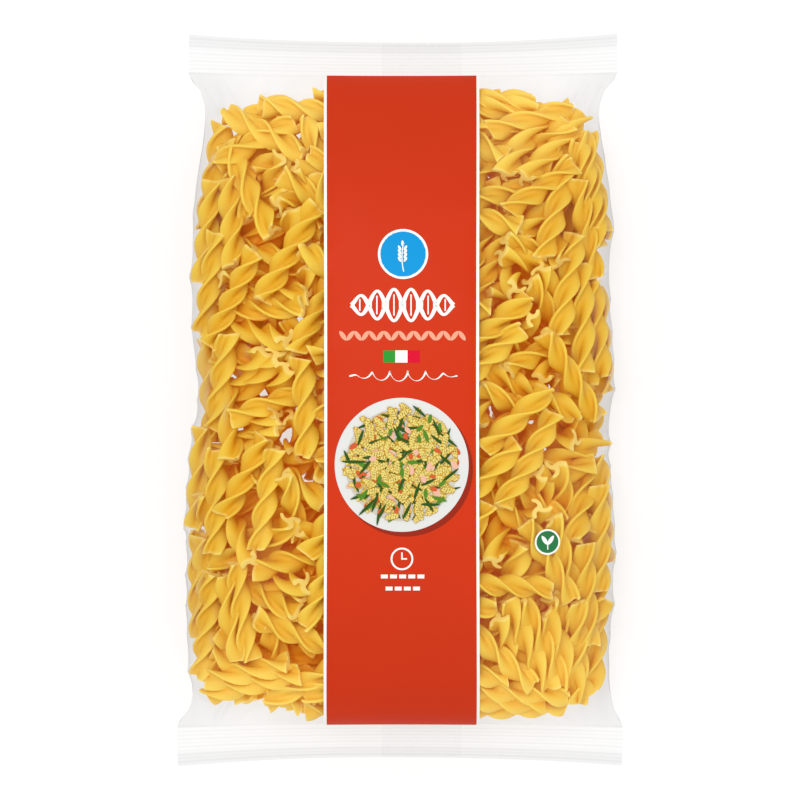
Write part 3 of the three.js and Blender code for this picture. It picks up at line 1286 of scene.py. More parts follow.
@dataclass(frozen=True)
class Seals:
    """The crimped end seals and the fin seal down the back.

    Attributes:
        shape: The pack's outer form.
        film: The thickness of a welded seal.
        rib: The height of its crimps.
        overlap: How far a seal reaches into the bag.
        across, deep: Steps across an end seal and from its inner edge to its cut edge.
        fin_rows, FIN_COLUMNS: Steps along the fin seal and points across it.
        fin_film: The thickness of the fin seal.

        FIN_GAP, SEAL_GAP: How far the fin seal keeps off the bag and off the end seals.
        LINE: How dark the painted shade on each slope of a crimp is.
        OUTER: Shares of the depth between which the outer band gets dull.
    """

    shape: PackShape
    film: float = 0.3
    rib: float = 0.5
    overlap: float = 0.8
    across: int = 170
    deep: int = 66
    fin_rows: int = 300
    fin_film: float = 0.3

    FIN_COLUMNS = 21
    FIN_GAP = 0.12
    SEAL_GAP = 0.08
    LINE = 0.4
    OUTER = (0.55, 0.8)

    def ribs(self, w: Array) -> Array:
        """The crimps: sine waves along the seal's depth w that fade at both edges."""
        fade = smoothstep(w, 0, 0.06) * (1 - smoothstep(w, 0.95, 1))
        return self.rib / 2 * np.sin(2 * math.pi * self.shape.rib_count * w) * fade

    def middle(self, end: int, u: Array, w: Array) -> Array:
        """A seal's middle surface with its crimps.

        Args:
            end: 1 for the top seal, -1 for the bottom seal.
            u: Shares across the seal, from -1 to 1.
            w: Shares from its inner edge, 0, to its cut edge, 1, and below 0 inside the bag.

        Returns:
            Points, with the shape of u and w and a last axis of 3.
        """
        points = self.shape.seal_line(end, u, np.maximum(w, 0))
        points[..., 1] += end * np.minimum(w, 0) * self.shape.seal_depth
        points[..., 2] += self.ribs(np.maximum(w, 0))
        return points

    def seal(self, end: int) -> Surface:
        """One end seal: a thin slab round its middle surface.

        Args:
            end: 1 for the top seal, -1 for the bottom seal.

        Returns:
            The closed slab.
        """
        u = np.linspace(-1, 1, self.across + 1)[:, None] * (-end)
        w = np.linspace(-self.overlap / self.shape.seal_depth, 1, self.deep + 1)[None, :]
        middle = self.middle(end, u, w)
        half = np.broadcast_to(self.film / 2 * (np.abs(u) < 1), middle.shape[:2])
        upper, lower = middle.copy(), middle[:, ::-1].copy()
        upper[..., 2] += half
        lower[..., 2] -= half
        made = Surface.grid(np.concatenate([upper, lower], axis=1), closed=True)
        lines = np.broadcast_to(self.lines(w), middle.shape[:2])
        made.marks["dull"] = np.concatenate([lines, lines[:, ::-1]], axis=1).ravel()
        return made

    def lines(self, w: Array) -> Array:
        """How dull a seal is: painted shade on each slope of a crimp, and a band at the cut edge.

        Args:
            w: Shares from the inner edge, 0, to the cut edge, 1.

        Returns:
            The mark dull.
        """
        # Painted shade: a faint grey line on each slope of a crimp.
        flank = np.abs(np.cos(2 * math.pi * self.shape.rib_count * w)) ** 3
        flank = flank * smoothstep(w, 0.02, 0.08) * (1 - smoothstep(w, 0.93, 0.99))
        return self.LINE * flank + smoothstep(w, *self.OUTER)

    def fin(self) -> Surface:
        """The fin seal: a thin strip that follows the back and runs through both end seals.

        Returns:
            The closed strip.
        """
        x = np.linspace(self.shape.fin_right, self.shape.fin_left, self.FIN_COLUMNS)
        y = np.linspace(-1, 1, self.fin_rows + 1)[:, None]
        inner = self.shape.half_root - self.shape.root_pull
        outer = inner + self.shape.seal_depth - self.shape.seal_depth_lost
        y = y * (outer + self.shape.root_pull)
        w = np.clip((np.abs(y) - inner) / (outer - inner), 0, 1)
        centre = self.shape.centre_line(y)
        s = (x[None, :] - centre) / self.shape.half_width(y, 1)
        inside = np.clip(y, -self.shape.half_root, self.shape.half_root)
        back = self.shape.place(s, inside, False)[..., 2] - self.FIN_GAP
        sealed = np.where(y > 0, self.middle(1, s, w)[..., 2], self.middle(-1, s, w)[..., 2])
        sealed = sealed - self.film / 2 - self.SEAL_GAP
        blend = smoothstep(np.abs(y), inner - 2.0, inner + 0.4)
        top = back * (1 - blend) + np.minimum(sealed, back + 9) * blend
        y_end = np.sign(y) * np.minimum(np.abs(y), outer - 0.15)
        upper = np.stack(np.broadcast_arrays(x[None, :], y_end, top), axis=-1)
        lower = upper[:, ::-1].copy()
        lower[..., 2] = np.maximum(0.02, lower[..., 2] - self.fin_film)
        return Surface.grid(np.concatenate([lower[:, ::-1], upper[:, ::-1]], axis=1), closed=True)


class Figure:
    """Flat figures for the print, as grids in the plane of the print."""

    @staticmethod
    def oval(x: float, y: float, a: float, b: float, turn: float = 0.0, point: float = 1.0,
             hollow: float = 0.004) -> Surface:
        """An ellipse, a leaf or a ring.

        The outline is a cos t along and b sin t |sin t|^(point - 1) across.

        Args:
            x, y: The middle across and along the pack.
            a: Half the length.
            b: Half the width.
            turn: The direction of the length, in radians.
            point: 1 for an ellipse, above 1 for pointed ends.
            hollow: The inner edge, as a share of the outline.

        Returns:
            The flat surface.
        """
        size = max(a, b) * (1 - hollow)
        rings = max(1, round(size / 1.6))
        t = np.linspace(0, 2 * math.pi, 12 + 4 * round(max(a, b) * 1.6), endpoint=False)[None, :]
        r = np.linspace(1, hollow, rings + 1)[:, None]
        across = b * np.sin(t) * np.abs(np.sin(t)) ** (point - 1)
        p, q = r * a * np.cos(t), r * across
        c, s = math.cos(turn), math.sin(turn)
        points = np.stack([x + p * c - q * s, y + p * s + q * c, np.zeros_like(p)], -1)
        return Surface.grid(points, closed=True)

    @staticmethod
    def ribbon(path: Array, half: Array | float, steps: int = 2) -> Surface:
        """A stroke along a path.

        Args:
            path: Points of its middle line, n by 2.
            half: Half its width, at each point or everywhere.
            steps: Steps across it.

        Returns:
            The flat surface.
        """
        slope = np.gradient(path, axis=0)
        slope /= np.maximum(1e-9, np.linalg.norm(slope, axis=1, keepdims=True))
        side = np.stack([-slope[:, 1], slope[:, 0]], -1)
        across = np.linspace(1, -1, steps + 1)[None, :, None]
        half = np.broadcast_to(half, len(path))[:, None, None]
        flat = path[:, None] + side[:, None] * across * half
        return Surface.grid(np.concatenate([flat, np.zeros((*flat.shape[:2], 1))], axis=-1))

    @staticmethod
    def line(a: tuple[float, float], b: tuple[float, float], half: float) -> Surface:
        """A straight stroke.

        Args:
            a, b: Its ends.
            half: Half its width.

        Returns:
            The flat surface.
        """
        long = math.dist(a, b)
        share = np.linspace(0, 1, 2 + round(long / 1.5))[:, None]
        path = np.array(a) * (1 - share) + np.array(b) * share
        return Figure.ribbon(path, half, 1 + round(half))


@dataclass(frozen=True)
class InkLayer:
    """Figures of one ink at one level of the print.

    Attributes:
        name: What the figures show.
        ink: Their ink.
        level: How many levels of print they lie above the lowest one.
        figures: Flat surfaces.
    """

    name: str
    ink: Ink
    level: int
    figures: list[Surface]


@dataclass
class Artwork:
    """The generic print: a plain band with a badge, a twist, grains, a plate and small signs.

    Attributes:
        film: The draped film that carries it.
        step: The height of one level of print above the last.
        lift: The height of the lowest level above the film.
        band_left, band_right: The x of the band's edges in the middle of the pack.
        band_flare: How much further out each edge runs at the ends.
        border: The width of the white lines beside the band.
        heap_figures, heap_height: The dish's figures and the height that they take up.
        seed: Of the dish.

        DIM: Distances from the middle between which the ink gets darker, a painted shade.
        ALONG: Points along a strip of the band.
        SPREAD: Steps, as shares of one, that lay the dish's figures evenly over a disc.
        BADGE, PLATE, PLATE_SHADE, SIGN: The middles of these figures.
        FLAG: The height, the half width and the length of each colour field.
        DASHES: The y, the first x and the count of each row of dashes.
    """

    film: FilmBody
    step: float = 0.06
    lift: float = 0.22
    band_left: float = -26.3
    band_right: float = 27.5
    band_flare: float = 0.75
    border: float = 1.05
    heap_figures: int = 420
    heap_height: float = 0.36
    seed: int = 9

    DIM = (40.0, 108.0)
    ALONG = 150
    SPREAD = (0.7549, 0.5698)
    BADGE = (1.1, 52.8)
    PLATE = (0.6, -23.4)
    PLATE_SHADE = (2.0, -25.0)
    SIGN = (53.6, -51.6)
    FLAG = (15.7, 2.2, 4.4)
    DASHES = ((-63.8, -6.9, 5), (-68.2, -5.2, 4))

    def edge(self, x: float, y: Array) -> Array:
        """The x of a long edge of the band, which flares a little towards the ends."""
        share = (y / self.film.shape.half_root) ** 2
        return x + math.copysign(self.band_flare, x) * share

    def strip(self, left: float, right: float) -> Surface:
        """A strip of the band from seal to seal, between two of its edges.

        Args:
            left, right: The x of its edges in the middle of the pack.

        Returns:
            The flat surface.
        """
        shape = self.film.shape
        y = np.linspace(-1, 1, self.ALONG)[:, None] * (shape.half_root - 0.3)
        share = np.linspace(0, 1, 3 + round((right - left) / 1.6))[None, :]
        x = self.edge(left, y) * (1 - share) + self.edge(right, y) * share
        s = x / (shape.bottom_width / 2)
        pulled = y * (1 - shape.root_pull / shape.half_root * (1 - s * s))
        return Surface.grid(np.stack([x, pulled, np.zeros_like(x)], -1))

    @staticmethod
    def wheat(x: float, y: float, size: float) -> list[Surface]:
        """An ear of grain: a curved stem with paired grains and one at the tip.

        Args:
            x, y: The middle across and along the pack.
            size: Half its length.

        Returns:
            Its flat surfaces.
        """
        w = np.linspace(-1, 1, 13)
        stem = np.stack([x + 0.12 * size * (w**2 - 0.3), y + size * w], -1)
        figures = [Figure.ribbon(stem, 0.035 * size, 1)]
        for k in range(4):
            height = y + size * (-0.15 + 0.27 * k)
            for side in (-1, 1):
                figures.append(Figure.oval(x + side * 0.2 * size, height, 0.2 * size, 0.085 * size,
                                           math.pi / 2 - side * 0.55, 1.3))
        figures.append(Figure.oval(x, y + 0.98 * size, 0.21 * size, 0.09 * size, math.pi / 2, 1.3))
        return figures

    @staticmethod
    def twist(x: float, y: float, width: float, height: float) -> list[Surface]:
        """Two strokes that wind round each other, with rungs between them.

        Args:
            x, y: The middle across and along the pack.
            width: Its length.
            height: Its height in the middle.

        Returns:
            Its flat surfaces.
        """
        w = np.linspace(-1, 1, 90)
        angle = 3 * math.pi * w
        taper = np.sqrt(np.clip(1.04 - w**2, 0, 1))
        figures = []
        for side in (-1, 1):
            path = np.stack([x + width / 2 * w, y + side * height / 2 * np.sin(angle) * taper], -1)
            figures.append(Figure.ribbon(path, 0.045 * height * (1 + 0.5 * np.cos(angle) ** 2)))
        for k in range(-8, 9):
            share = (k + 0.5) / 9
            reach = 0.34 * height * math.sin(3 * math.pi * share) * math.sqrt(max(0, 1 - share**2))
            if abs(reach) > 0.12 * height:
                place = x + width / 2 * share
                figures.append(Figure.line((place, y - abs(reach)), (place, y + abs(reach)), 0.25))
        return figures

    @staticmethod
    def grains(x: float, y: float, width: float, count: int, size: float) -> list[Surface]:
        """A row of grains that lean to either side in turn.

        Args:
            x, y: The middle across and along the pack.
            width: From the first grain to the last.
            count: How many grains.
            size: Half the length of a grain.

        Returns:
            Its flat surfaces.
        """
        places = np.linspace(x - width / 2, x + width / 2, count)
        lean = 0.62 * (-1.0) ** np.arange(count)
        return [Figure.oval(place, y, size, 0.4 * size, math.pi / 2 + turn, 1.25)
                for place, turn in zip(places, lean)]

    @staticmethod
    def flourish(x: float, y: float, width: float) -> list[Surface]:
        """A thin stroke of loops that grow and fade.

        Args:
            x, y: The middle across and along the pack.
            width: Its length.

        Returns:
            Its flat surface.
        """
        w = np.linspace(-1, 1, 150)
        swell = 1 - w**2
        path = np.stack([x + width / 2 * w + 1.1 * swell * np.cos(19 * w),
                         y + 1.9 * swell * np.sin(19 * w)], -1)
        return [Figure.ribbon(path, 0.2 + 0.12 * np.sin(19 * w + 0.8), 1)]

    @staticmethod
    def clock(x: float, y: float, radius: float) -> list[Surface]:
        """A clock face: a ring with two hands.

        Args:
            x, y: The middle across and along the pack.
            radius: Of the ring.

        Returns:
            Its flat surfaces.
        """
        return [
            Figure.oval(x, y, radius, radius, hollow=0.84),
            Figure.line((x, y - 0.3), (x, y + 0.58 * radius), 0.26),
            Figure.line((x - 0.3, y), (x + 0.45 * radius, y), 0.26),
        ]

    def heap(self, x: float, y: float, radius: float) -> dict[Ink, list[Surface]]:
        """The dish on the plate: short twists with dark rims, leaves and chunks, spread evenly.

        Each figure lies a little above the one before, so that they overlap like real ones.

        Args:
            x, y: The middle across and along the pack.
            radius: How far the dish reaches.

        Returns:
            The figures by ink.
        """
        random = np.random.default_rng(self.seed)
        inks = (Ink.OCHRE, Ink.STRAW, Ink.LEAF, Ink.MOSS, Ink.CORAL, Ink.PINK)
        kinds = {ink: [] for ink in inks}
        w = np.linspace(-1, 1, 21)

        def add(ink: Ink, figure: Surface, height: float) -> None:
            """Puts a figure of an ink on the dish, at a height above the plate."""
            figure.points[:, 2] += height
            kinds[ink].append(figure)

        count = self.heap_figures
        for k in range(count):
            away = radius * math.sqrt(self.SPREAD[0] * k % 1) * random.uniform(0.92, 1)
            turn = 2 * math.pi * (self.SPREAD[1] * k % 1)
            px, py = x + away * math.cos(turn), y + away * math.sin(turn)
            lean = random.uniform(0, math.pi)
            height = self.heap_height * k / count
            over = height + 0.5 * self.heap_height / count
            pick = random.random()
            if pick < 0.5:
                c, s = math.cos(lean), math.sin(lean)
                wave = 0.34 * np.sin(5 * math.pi * w)
                path = np.stack([px + 2.3 * w * c - wave * s, py + 2.3 * w * s + wave * c], -1)
                add(Ink.OCHRE, Figure.ribbon(path, 0.95 - 0.3 * w**2), height)
                add(Ink.STRAW, Figure.ribbon(path[:-1], 0.7 - 0.3 * w[:-1] ** 2), over)
            elif pick < 0.64:
                leaf = Figure.oval(px, py, random.uniform(1.6, 3.0), 0.75, lean, 1.5)
                add(Ink.LEAF, leaf, height)
            elif pick < 0.82:
                leaf = Figure.oval(px, py, random.uniform(2.4, 4.8), 0.55, lean, 1.4)
                add(Ink.MOSS, leaf, height)
            else:
                ink = Ink.CORAL if pick < 0.92 else Ink.PINK
                size = random.uniform(1.0, 1.9), random.uniform(0.7, 1.2)
                add(ink, Figure.oval(px, py, *size, lean, 1.1), height)
        return kinds

    def layers(self) -> list[InkLayer]:
        """Every figure of the print, by ink and level.

        Returns:
            The layers, from the film up.
        """
        left, right, edge = self.band_left, self.band_right, self.border
        heap = self.heap(*self.PLATE, 20.6)
        flag = [(-6.1, Ink.CLOVER), (-1.7, Ink.WHITE), (2.7, Ink.SCARLET)]
        made = [
            InkLayer("band", Ink.RED, 1, [self.strip(left, right)]),
            InkLayer("band_borders", Ink.WHITE, 1,
                     [self.strip(left - edge, left), self.strip(right, right + edge)]),
            InkLayer("badge_rim", Ink.WHITE, 2, [Figure.oval(*self.BADGE, 9.1, 9.1, hollow=0.9)]),
            InkLayer("badge_field", Ink.BLUE, 2, [Figure.oval(*self.BADGE, 8.3, 8.3)]),
            InkLayer("badge_ear", Ink.WHITE, 3, self.wheat(0.9, 51.6, 5.2)),
            InkLayer("twist", Ink.WHITE, 2, self.twist(0.9, 34.3, 37.0, 11.4)),
            InkLayer("grains", Ink.BLUSH, 2, self.grains(0.9, 23.2, 43.0, 17, 2.1)),
            InkLayer("flourish", Ink.WHITE, 2, self.flourish(1.2, 8.7, 39.0)),
            InkLayer("plate_shade", Ink.SHADE, 2, [Figure.oval(*self.PLATE_SHADE, 24.3, 24.3)]),
            InkLayer("plate", Ink.PLATE, 3, [Figure.oval(*self.PLATE, 24.2, 24.2)]),
            InkLayer("plate_well", Ink.CREAM, 4, [Figure.oval(*self.PLATE, 20.4, 20.4)]),
            InkLayer("clock", Ink.WHITE, 2, self.clock(0.7, -57.4, 4.1)),
            InkLayer("sign_rim", Ink.WHITE, 1, [Figure.oval(*self.SIGN, 4.7, 4.7, hollow=0.86)]),
            InkLayer("sign_field", Ink.GREEN, 1, [Figure.oval(*self.SIGN, 4.05, 4.05)]),
            InkLayer("sign_sprig", Ink.WHITE, 2, [
                Figure.oval(52.6, -51.0, 2.0, 0.75, 2.15, 1.4),
                Figure.oval(54.8, -51.0, 2.0, 0.75, 1.0, 1.4),
                Figure.line((53.7, -54.4), (53.7, -51.8), 0.2)]),
        ]
        for ink, figures in heap.items():
            made.append(InkLayer(f"dish_{ink.name.lower()}", ink, 5, figures))
        y, half, long = self.FLAG
        for name, (x, ink) in zip(("flag_left", "flag_middle", "flag_right"), flag):
            made.append(InkLayer(name, ink, 2, [Figure.line((x, y), (x + long, y), half)]))
        dashes = [Figure.line((x, y), (x + 2.5, y), 0.7)
                  for y, first, count in self.DASHES
                  for x in first + 3.3 * np.arange(count)]
        made.append(InkLayer("dashes", Ink.WHITE, 2, dashes))
        return made

    def laid(self, layer: InkLayer) -> Surface:
        """Lifts a layer onto the film, by its level along the film's upward slope.

        Args:
            layer: The flat figures.

        Returns:
            Their surface on the film.
        """
        flat = Surface.joined(layer.figures)
        x, y = flat.points[:, 0], flat.points[:, 1]
        height = self.film.height
        z = height(x, y)
        slope_x = height(x + 0.5, y) - height(x - 0.5, y)
        slope_y = height(x, y + 0.5) - height(x, y - 0.5)
        lift = self.lift + self.step * layer.level + flat.points[:, 2]
        flat.points[:, 2] = z + lift * np.sqrt(1 + slope_x**2 + slope_y**2)
        # Painted shade: the print darkens towards the seals, where light falls off over the curved
        # ends.
        flat.marks["dim"] = smoothstep(np.abs(y), *self.DIM)
        return flat


class Wiring:
    """Adds and links the nodes of one node tree."""

    def __init__(self, tree: bpy.types.NodeTree) -> None:
        """Keeps the tree."""
        self.tree = tree

    def add(self, kind: str, inputs: dict | None = None, **settings: object) -> bpy.types.Node:
        """Adds a node.

        Args:
            kind: The node's type.
            inputs: Values or output sockets for its input sockets, by name or number.
            settings: Values for its own properties.

        Returns:
            The node.
        """
        node = self.tree.nodes.new(kind)
        for name, value in settings.items():
            setattr(node, name, value)
        for name, value in (inputs or {}).items():
            socket = node.inputs[name]
            if isinstance(value, bpy.types.NodeSocket):
                self.tree.links.new(value, socket)
            else:
                socket.default_value = value
        return node

    def mix(self, share: object, a: object, b: object) -> bpy.types.NodeSocket:
        """The socket of a mix of two colours, with a share of the second one."""
        node = self.add("ShaderNodeMix", {0: share, 6: a, 7: b}, data_type="RGBA")
        return node.outputs[2]

    def math(self, operation: str, a: object, b: object = 0.0) -> bpy.types.NodeSocket:
        """The socket of one arithmetic step on two values."""
        return self.add("ShaderNodeMath", {0: a, 1: b}, operation=operation).outputs[0]

    def mark(self, name: str) -> bpy.types.NodeSocket:
        """The socket of a mark of the mesh."""
        return self.add("ShaderNodeAttribute", attribute_name=name).outputs["Fac"]

    def grain(self, fine: float, slow: float) -> bpy.types.Node:
        """The shared grain's node, with noises of these two scales as Fine and Slow."""
        inputs = {"Fine scale": fine, "Slow scale": slow}
        return self.add("ShaderNodeGroup", inputs, node_tree=Groups.grain())

    def range(self, value: object, low: float, high: float, to_low: float,
              to_high: float) -> bpy.types.NodeSocket:
        """Maps a value from one range to another, clamped and smooth.

        Args:
            value: The value or its socket.
            low, high: The first range.
            to_low, to_high: The second range.

        Returns:
            The socket of the mapped value.
        """
        inputs = {0: value, 1: low, 2: high, 3: to_low, 4: to_high}
        node = self.add("ShaderNodeMapRange", inputs, interpolation_type="SMOOTHSTEP")
        return node.outputs[0]


class Groups:
    """Node groups that several finishes share, each built once."""

    @staticmethod
    def grain() -> bpy.types.NodeTree:
        """Two noises in object space: a fine one and a slow one, each from 0 to 1.

        Returns:
            The node group.
        """
        found = bpy.data.node_groups.get("grain")
        if found:
            return found
        made = bpy.data.node_groups.new("grain", "ShaderNodeTree")
        made.interface.new_socket("Fine scale", in_out="INPUT", socket_type="NodeSocketFloat")
        made.interface.new_socket("Slow scale", in_out="INPUT", socket_type="NodeSocketFloat")
        made.interface.new_socket("Fine", in_out="OUTPUT", socket_type="NodeSocketFloat")
        made.interface.new_socket("Slow", in_out="OUTPUT", socket_type="NodeSocketFloat")
        wiring = Wiring(made)
        given = wiring.add("NodeGroupInput")
        place = wiring.add("ShaderNodeTexCoord").outputs["Object"]
        fine = wiring.add("ShaderNodeTexNoise", {
            "Vector": place, "Scale": given.outputs["Fine scale"], "Detail": 3.0})
        slow = wiring.add("ShaderNodeTexNoise", {
            "Vector": place, "Scale": given.outputs["Slow scale"], "Detail": 1.0})
        wiring.add("NodeGroupOutput", {"Fine": fine.outputs[0], "Slow": slow.outputs[0]})
        return made


def blank(name: str) -> tuple[bpy.types.Material, Wiring]:
    """Makes a material with an empty node tree.

    Args:
        name: The material's name.

    Returns:
        The material and the wiring for it.
    """
    made = bpy.data.materials.new(name)
    made.use_nodes = True
    made.node_tree.nodes.clear()
    return made, Wiring(made.node_tree)


@dataclass(frozen=True)
class FilmFinish:
    """Clear packaging film: see-through, faintly milky, greyer and glossy at a glancing angle.

    Its inner face has no gloss.

    Attributes:
        name: The material's name.
        haze: How milky it is everywhere.
        patches: How much milkier it is in soft patches.
        tint: The share of light that it lets through, face on.
        edge: How much less it lets through at a glancing angle, but for where the mark root is 1.
        dull: How much less it lets through where the mark dull is 1: painted shade along the
            bag's sides and on the slopes of the seals' crimps, and a band at the seals' cut edges.
        roughness: Of its reflection.
        crinkle: The height of its fine crinkles, in metres.
        most_gloss: The largest share of its reflection.

        FALL: The power by which it dims towards a glancing angle.
        FACE_ON: The share of reflection, face on, that the even haze stands for already.
        MILK: The colour of the haze.
        GRAIN: The scales of the crinkles and of the patches.
        PATCH: Values of the slow grain between which a patch begins.
    """

    name: str
    haze: float = 0.001
    patches: float = 0.015
    tint: float = 0.985
    edge: float = 0.25
    dull: float = 0.05
    roughness: float = 0.12
    crinkle: float = 0.00015
    most_gloss: float = 0.4

    FALL = 1.6
    FACE_ON = 0.035
    MILK = (0.91, 0.92, 0.94, 1)
    GRAIN = (160.0, 16.0)
    PATCH = (0.45, 0.7)

    def material(self) -> bpy.types.Material:
        """Builds the material.

        Returns:
            The material.
        """
        made, wiring = blank(self.name)
        grain = wiring.grain(*self.GRAIN)
        bump = wiring.add("ShaderNodeBump", {
            "Height": grain.outputs["Fine"], "Distance": self.crinkle, "Strength": 1.0})
        normal = bump.outputs[0]
        facing = wiring.add("ShaderNodeLayerWeight", {"Blend": 0.5}).outputs["Facing"]
        # The mark dull paints shade along the bag's sides and on the seals' crimps.
        dull = wiring.mark("dull")
        root = wiring.mark("root")
        strength = wiring.math("MULTIPLY", wiring.math("SUBTRACT", 1.0, root), self.edge)
        aslant = wiring.math("MULTIPLY", wiring.math("POWER", facing, self.FALL), strength)
        lost = wiring.math("ADD", aslant, wiring.math("MULTIPLY", dull, self.dull))
        passed = wiring.math("SUBTRACT", self.tint, lost)
        clear = wiring.add("ShaderNodeBsdfTransparent", {"Color": passed})
        milk = wiring.add("ShaderNodeBsdfDiffuse", {"Color": self.MILK})
        haze = wiring.range(grain.outputs["Slow"], *self.PATCH, self.haze,
                            self.haze + self.patches)
        body = wiring.add("ShaderNodeMixShader", {
            0: haze, 1: clear.outputs[0], 2: milk.outputs[0]})
        gloss = wiring.add("ShaderNodeBsdfGlossy", {
            "Color": (1, 1, 1, 1), "Roughness": self.roughness, "Normal": normal})
        edge = wiring.add("ShaderNodeFresnel", {"IOR": 1.45, "Normal": normal}).outputs[0]
        share = wiring.math("SUBTRACT", edge, self.FACE_ON)
        share = wiring.math("MINIMUM", share, self.most_gloss)
        outer = wiring.math("SUBTRACT", 1.0,
                            wiring.add("ShaderNodeNewGeometry").outputs["Backfacing"])
        shader = wiring.add("ShaderNodeMixShader", {
            0: wiring.math("MULTIPLY", share, outer), 1: body.outputs[0], 2: gloss.outputs[0]})
        wiring.add("ShaderNodeOutputMaterial", {"Surface": shader.outputs[0]})
        return made

    @staticmethod
    def unlit(piece: bpy.types.Object) -> bpy.types.Object:
        """Lets all light but the camera's view pass a piece of film, so that it shades nothing.

        Args:
            piece: The piece.

        Returns:
            The same piece.
        """
        piece.visible_diffuse = piece.visible_glossy = piece.visible_transmission = False
        piece.visible_shadow = False
        return piece


@dataclass(frozen=True)
class PastaFinish:
    """Dried durum pasta: golden, slightly translucent, paler at its cut ends.

    The grooves are painted shade and the blades' tips a painted highlight, and surfaces that
    face aside or down get painted shade. Light that soaks through real pasta comes out orange.
    Faint painted glows stand for it: one near the film, which warms the creases, one where the
    bag is thin, and one deep in the bag. Where the bag is thin the pasta is also painted paler,
    and deep in the bag a painted orange shade stands for light bounced between the spirals.

    Attributes:
        name: The material's name.
        amber: The colour in the grooves, a painted shade.
        yellow: The colour at the blades' tips, a painted highlight.
        flank: The painted shade colour of surfaces that face aside or down.
        flanked: How far those take the painted shade.
        pale: The colour of the cut ends, and the painted light where the bag is thin.
        sunk: The colour deep in the bag, a painted shade for light bounced between the spirals.
        lit: The painted glow near the film.
        bright: The painted glow near the film where the bag is thin, towards its ends.
        glow: The painted glow deep in the bag.
        gloss: The strength of its reflection.
        roughness: Of its reflection.
        speck: The colour of the bran specks.

        TONE: What the spiral's shade, the slow grain and the rims add to the tone. The rims' part
            paints shade in the grooves and a highlight at the blades' tips.
        LIGHTER: How far the cut ends and, as painted light, the thin bag take the pale colour.
        DEEPER: How far the depth takes the sunk colour, a painted shade.
        SPECKS: The scale of the specks, and the sizes between which one fades.
        RARE: The slow grain above which specks show.
        SPECKLED: How far a speck takes its colour.
        GRAIN: The scales of the fine and of the slow grain.
        ROUGH: The height of the fine grain, in metres.
    """

    name: str = "dried_pasta"
    amber: Colour = (0.71, 0.378, 0.008, 1)
    yellow: Colour = (0.79, 0.58, 0.075, 1)
    flank: Colour = (0.74, 0.32, 0.006, 1)
    flanked: float = 0.55
    pale: Colour = (0.88, 0.77, 0.26, 1)
    sunk: Colour = (0.84, 0.40, 0.014, 1)
    lit: Colour = (0.065, 0.022, 0.0, 1)
    bright: Colour = (0.12, 0.05, 0.004, 1)
    glow: Colour = (0.09, 0.025, 0.0015, 1)
    gloss: float = 0.15
    roughness: float = 0.46
    speck: Colour = (0.35, 0.14, 0.03, 1)

    TONE = (0.3, 0.2, 0.75)
    LIGHTER = (0.6, 0.2)
    DEEPER = 0.8
    SPECKS = (210.0, 0.05, 0.09)
    RARE = 0.6
    SPECKLED = 0.55
    GRAIN = (900.0, 90.0)
    ROUGH = 0.00006

    def material(self) -> bpy.types.Material:
        """Builds the material.

        Returns:
            The material.
        """
        made, wiring = blank(self.name)
        grain = wiring.grain(*self.GRAIN)
        # Painted shade and highlight: the rim mark darkens the grooves and lightens the blades'
        # tips.
        tone = 0.0
        for part, weight in zip((wiring.mark("shade"), grain.outputs["Slow"],
                                 wiring.mark("rim")), self.TONE):
            tone = wiring.math("ADD", wiring.math("MULTIPLY", part, weight), tone)
        colour = wiring.mix(tone, self.amber, self.yellow)
        # Painted shade: surfaces that face aside or down turn a darker orange.
        aside = wiring.math("MULTIPLY", wiring.mark("aside"), self.flanked)
        colour = wiring.mix(aside, colour, self.flank)
        # Painted light: where the bag is thin the pasta turns paler and glows brighter; the second
        # share below is the thin bag's.
        thin = wiring.mark("thin")
        cut, ends = (wiring.math("MULTIPLY", part, weight)
                     for part, weight in zip((wiring.mark("end"), thin), self.LIGHTER))
        light = wiring.math("MAXIMUM", cut, ends)
        colour = wiring.mix(light, colour, self.pale)
        near = wiring.mix(thin, self.lit, self.bright)
        # Painted shade: deep in the bag the colour turns orange, as light bounced between spirals
        # would.
        sunk = wiring.mark("deep")
        colour = wiring.mix(wiring.math("MULTIPLY", sunk, self.DEEPER), colour, self.sunk)
        scale, inner, outer = self.SPECKS
        place = wiring.add("ShaderNodeTexCoord").outputs["Object"]
        speck = wiring.add("ShaderNodeTexVoronoi", {"Vector": place, "Scale": scale})
        dot = wiring.range(speck.outputs["Distance"], inner, outer, 1.0, 0.0)
        rare = wiring.math("GREATER_THAN", grain.outputs["Slow"], self.RARE)
        shown = wiring.math("MULTIPLY", wiring.math("MULTIPLY", dot, rare), self.SPECKLED)
        colour = wiring.mix(shown, colour, self.speck)
        bump = wiring.add("ShaderNodeBump", {
            "Height": grain.outputs["Fine"], "Distance": self.ROUGH, "Strength": 1.0})
        # Painted glow: the emission stands in for light that soaks through the pasta; no spiral is
        # a lamp.
        body = wiring.add("ShaderNodeBsdfPrincipled", {
            "Base Color": colour, "Normal": bump.outputs[0], "Roughness": self.roughness,
            "Specular IOR Level": self.gloss,
            "Emission Color": wiring.mix(sunk, near, self.glow),
            "Emission Strength": 1.0})
        wiring.add("ShaderNodeOutputMaterial", {"Surface": body.outputs[0]})
        # The glow is too faint for the spirals to be worth treating as lamps.
        made.cycles.emission_sampling = "NONE"
        return made


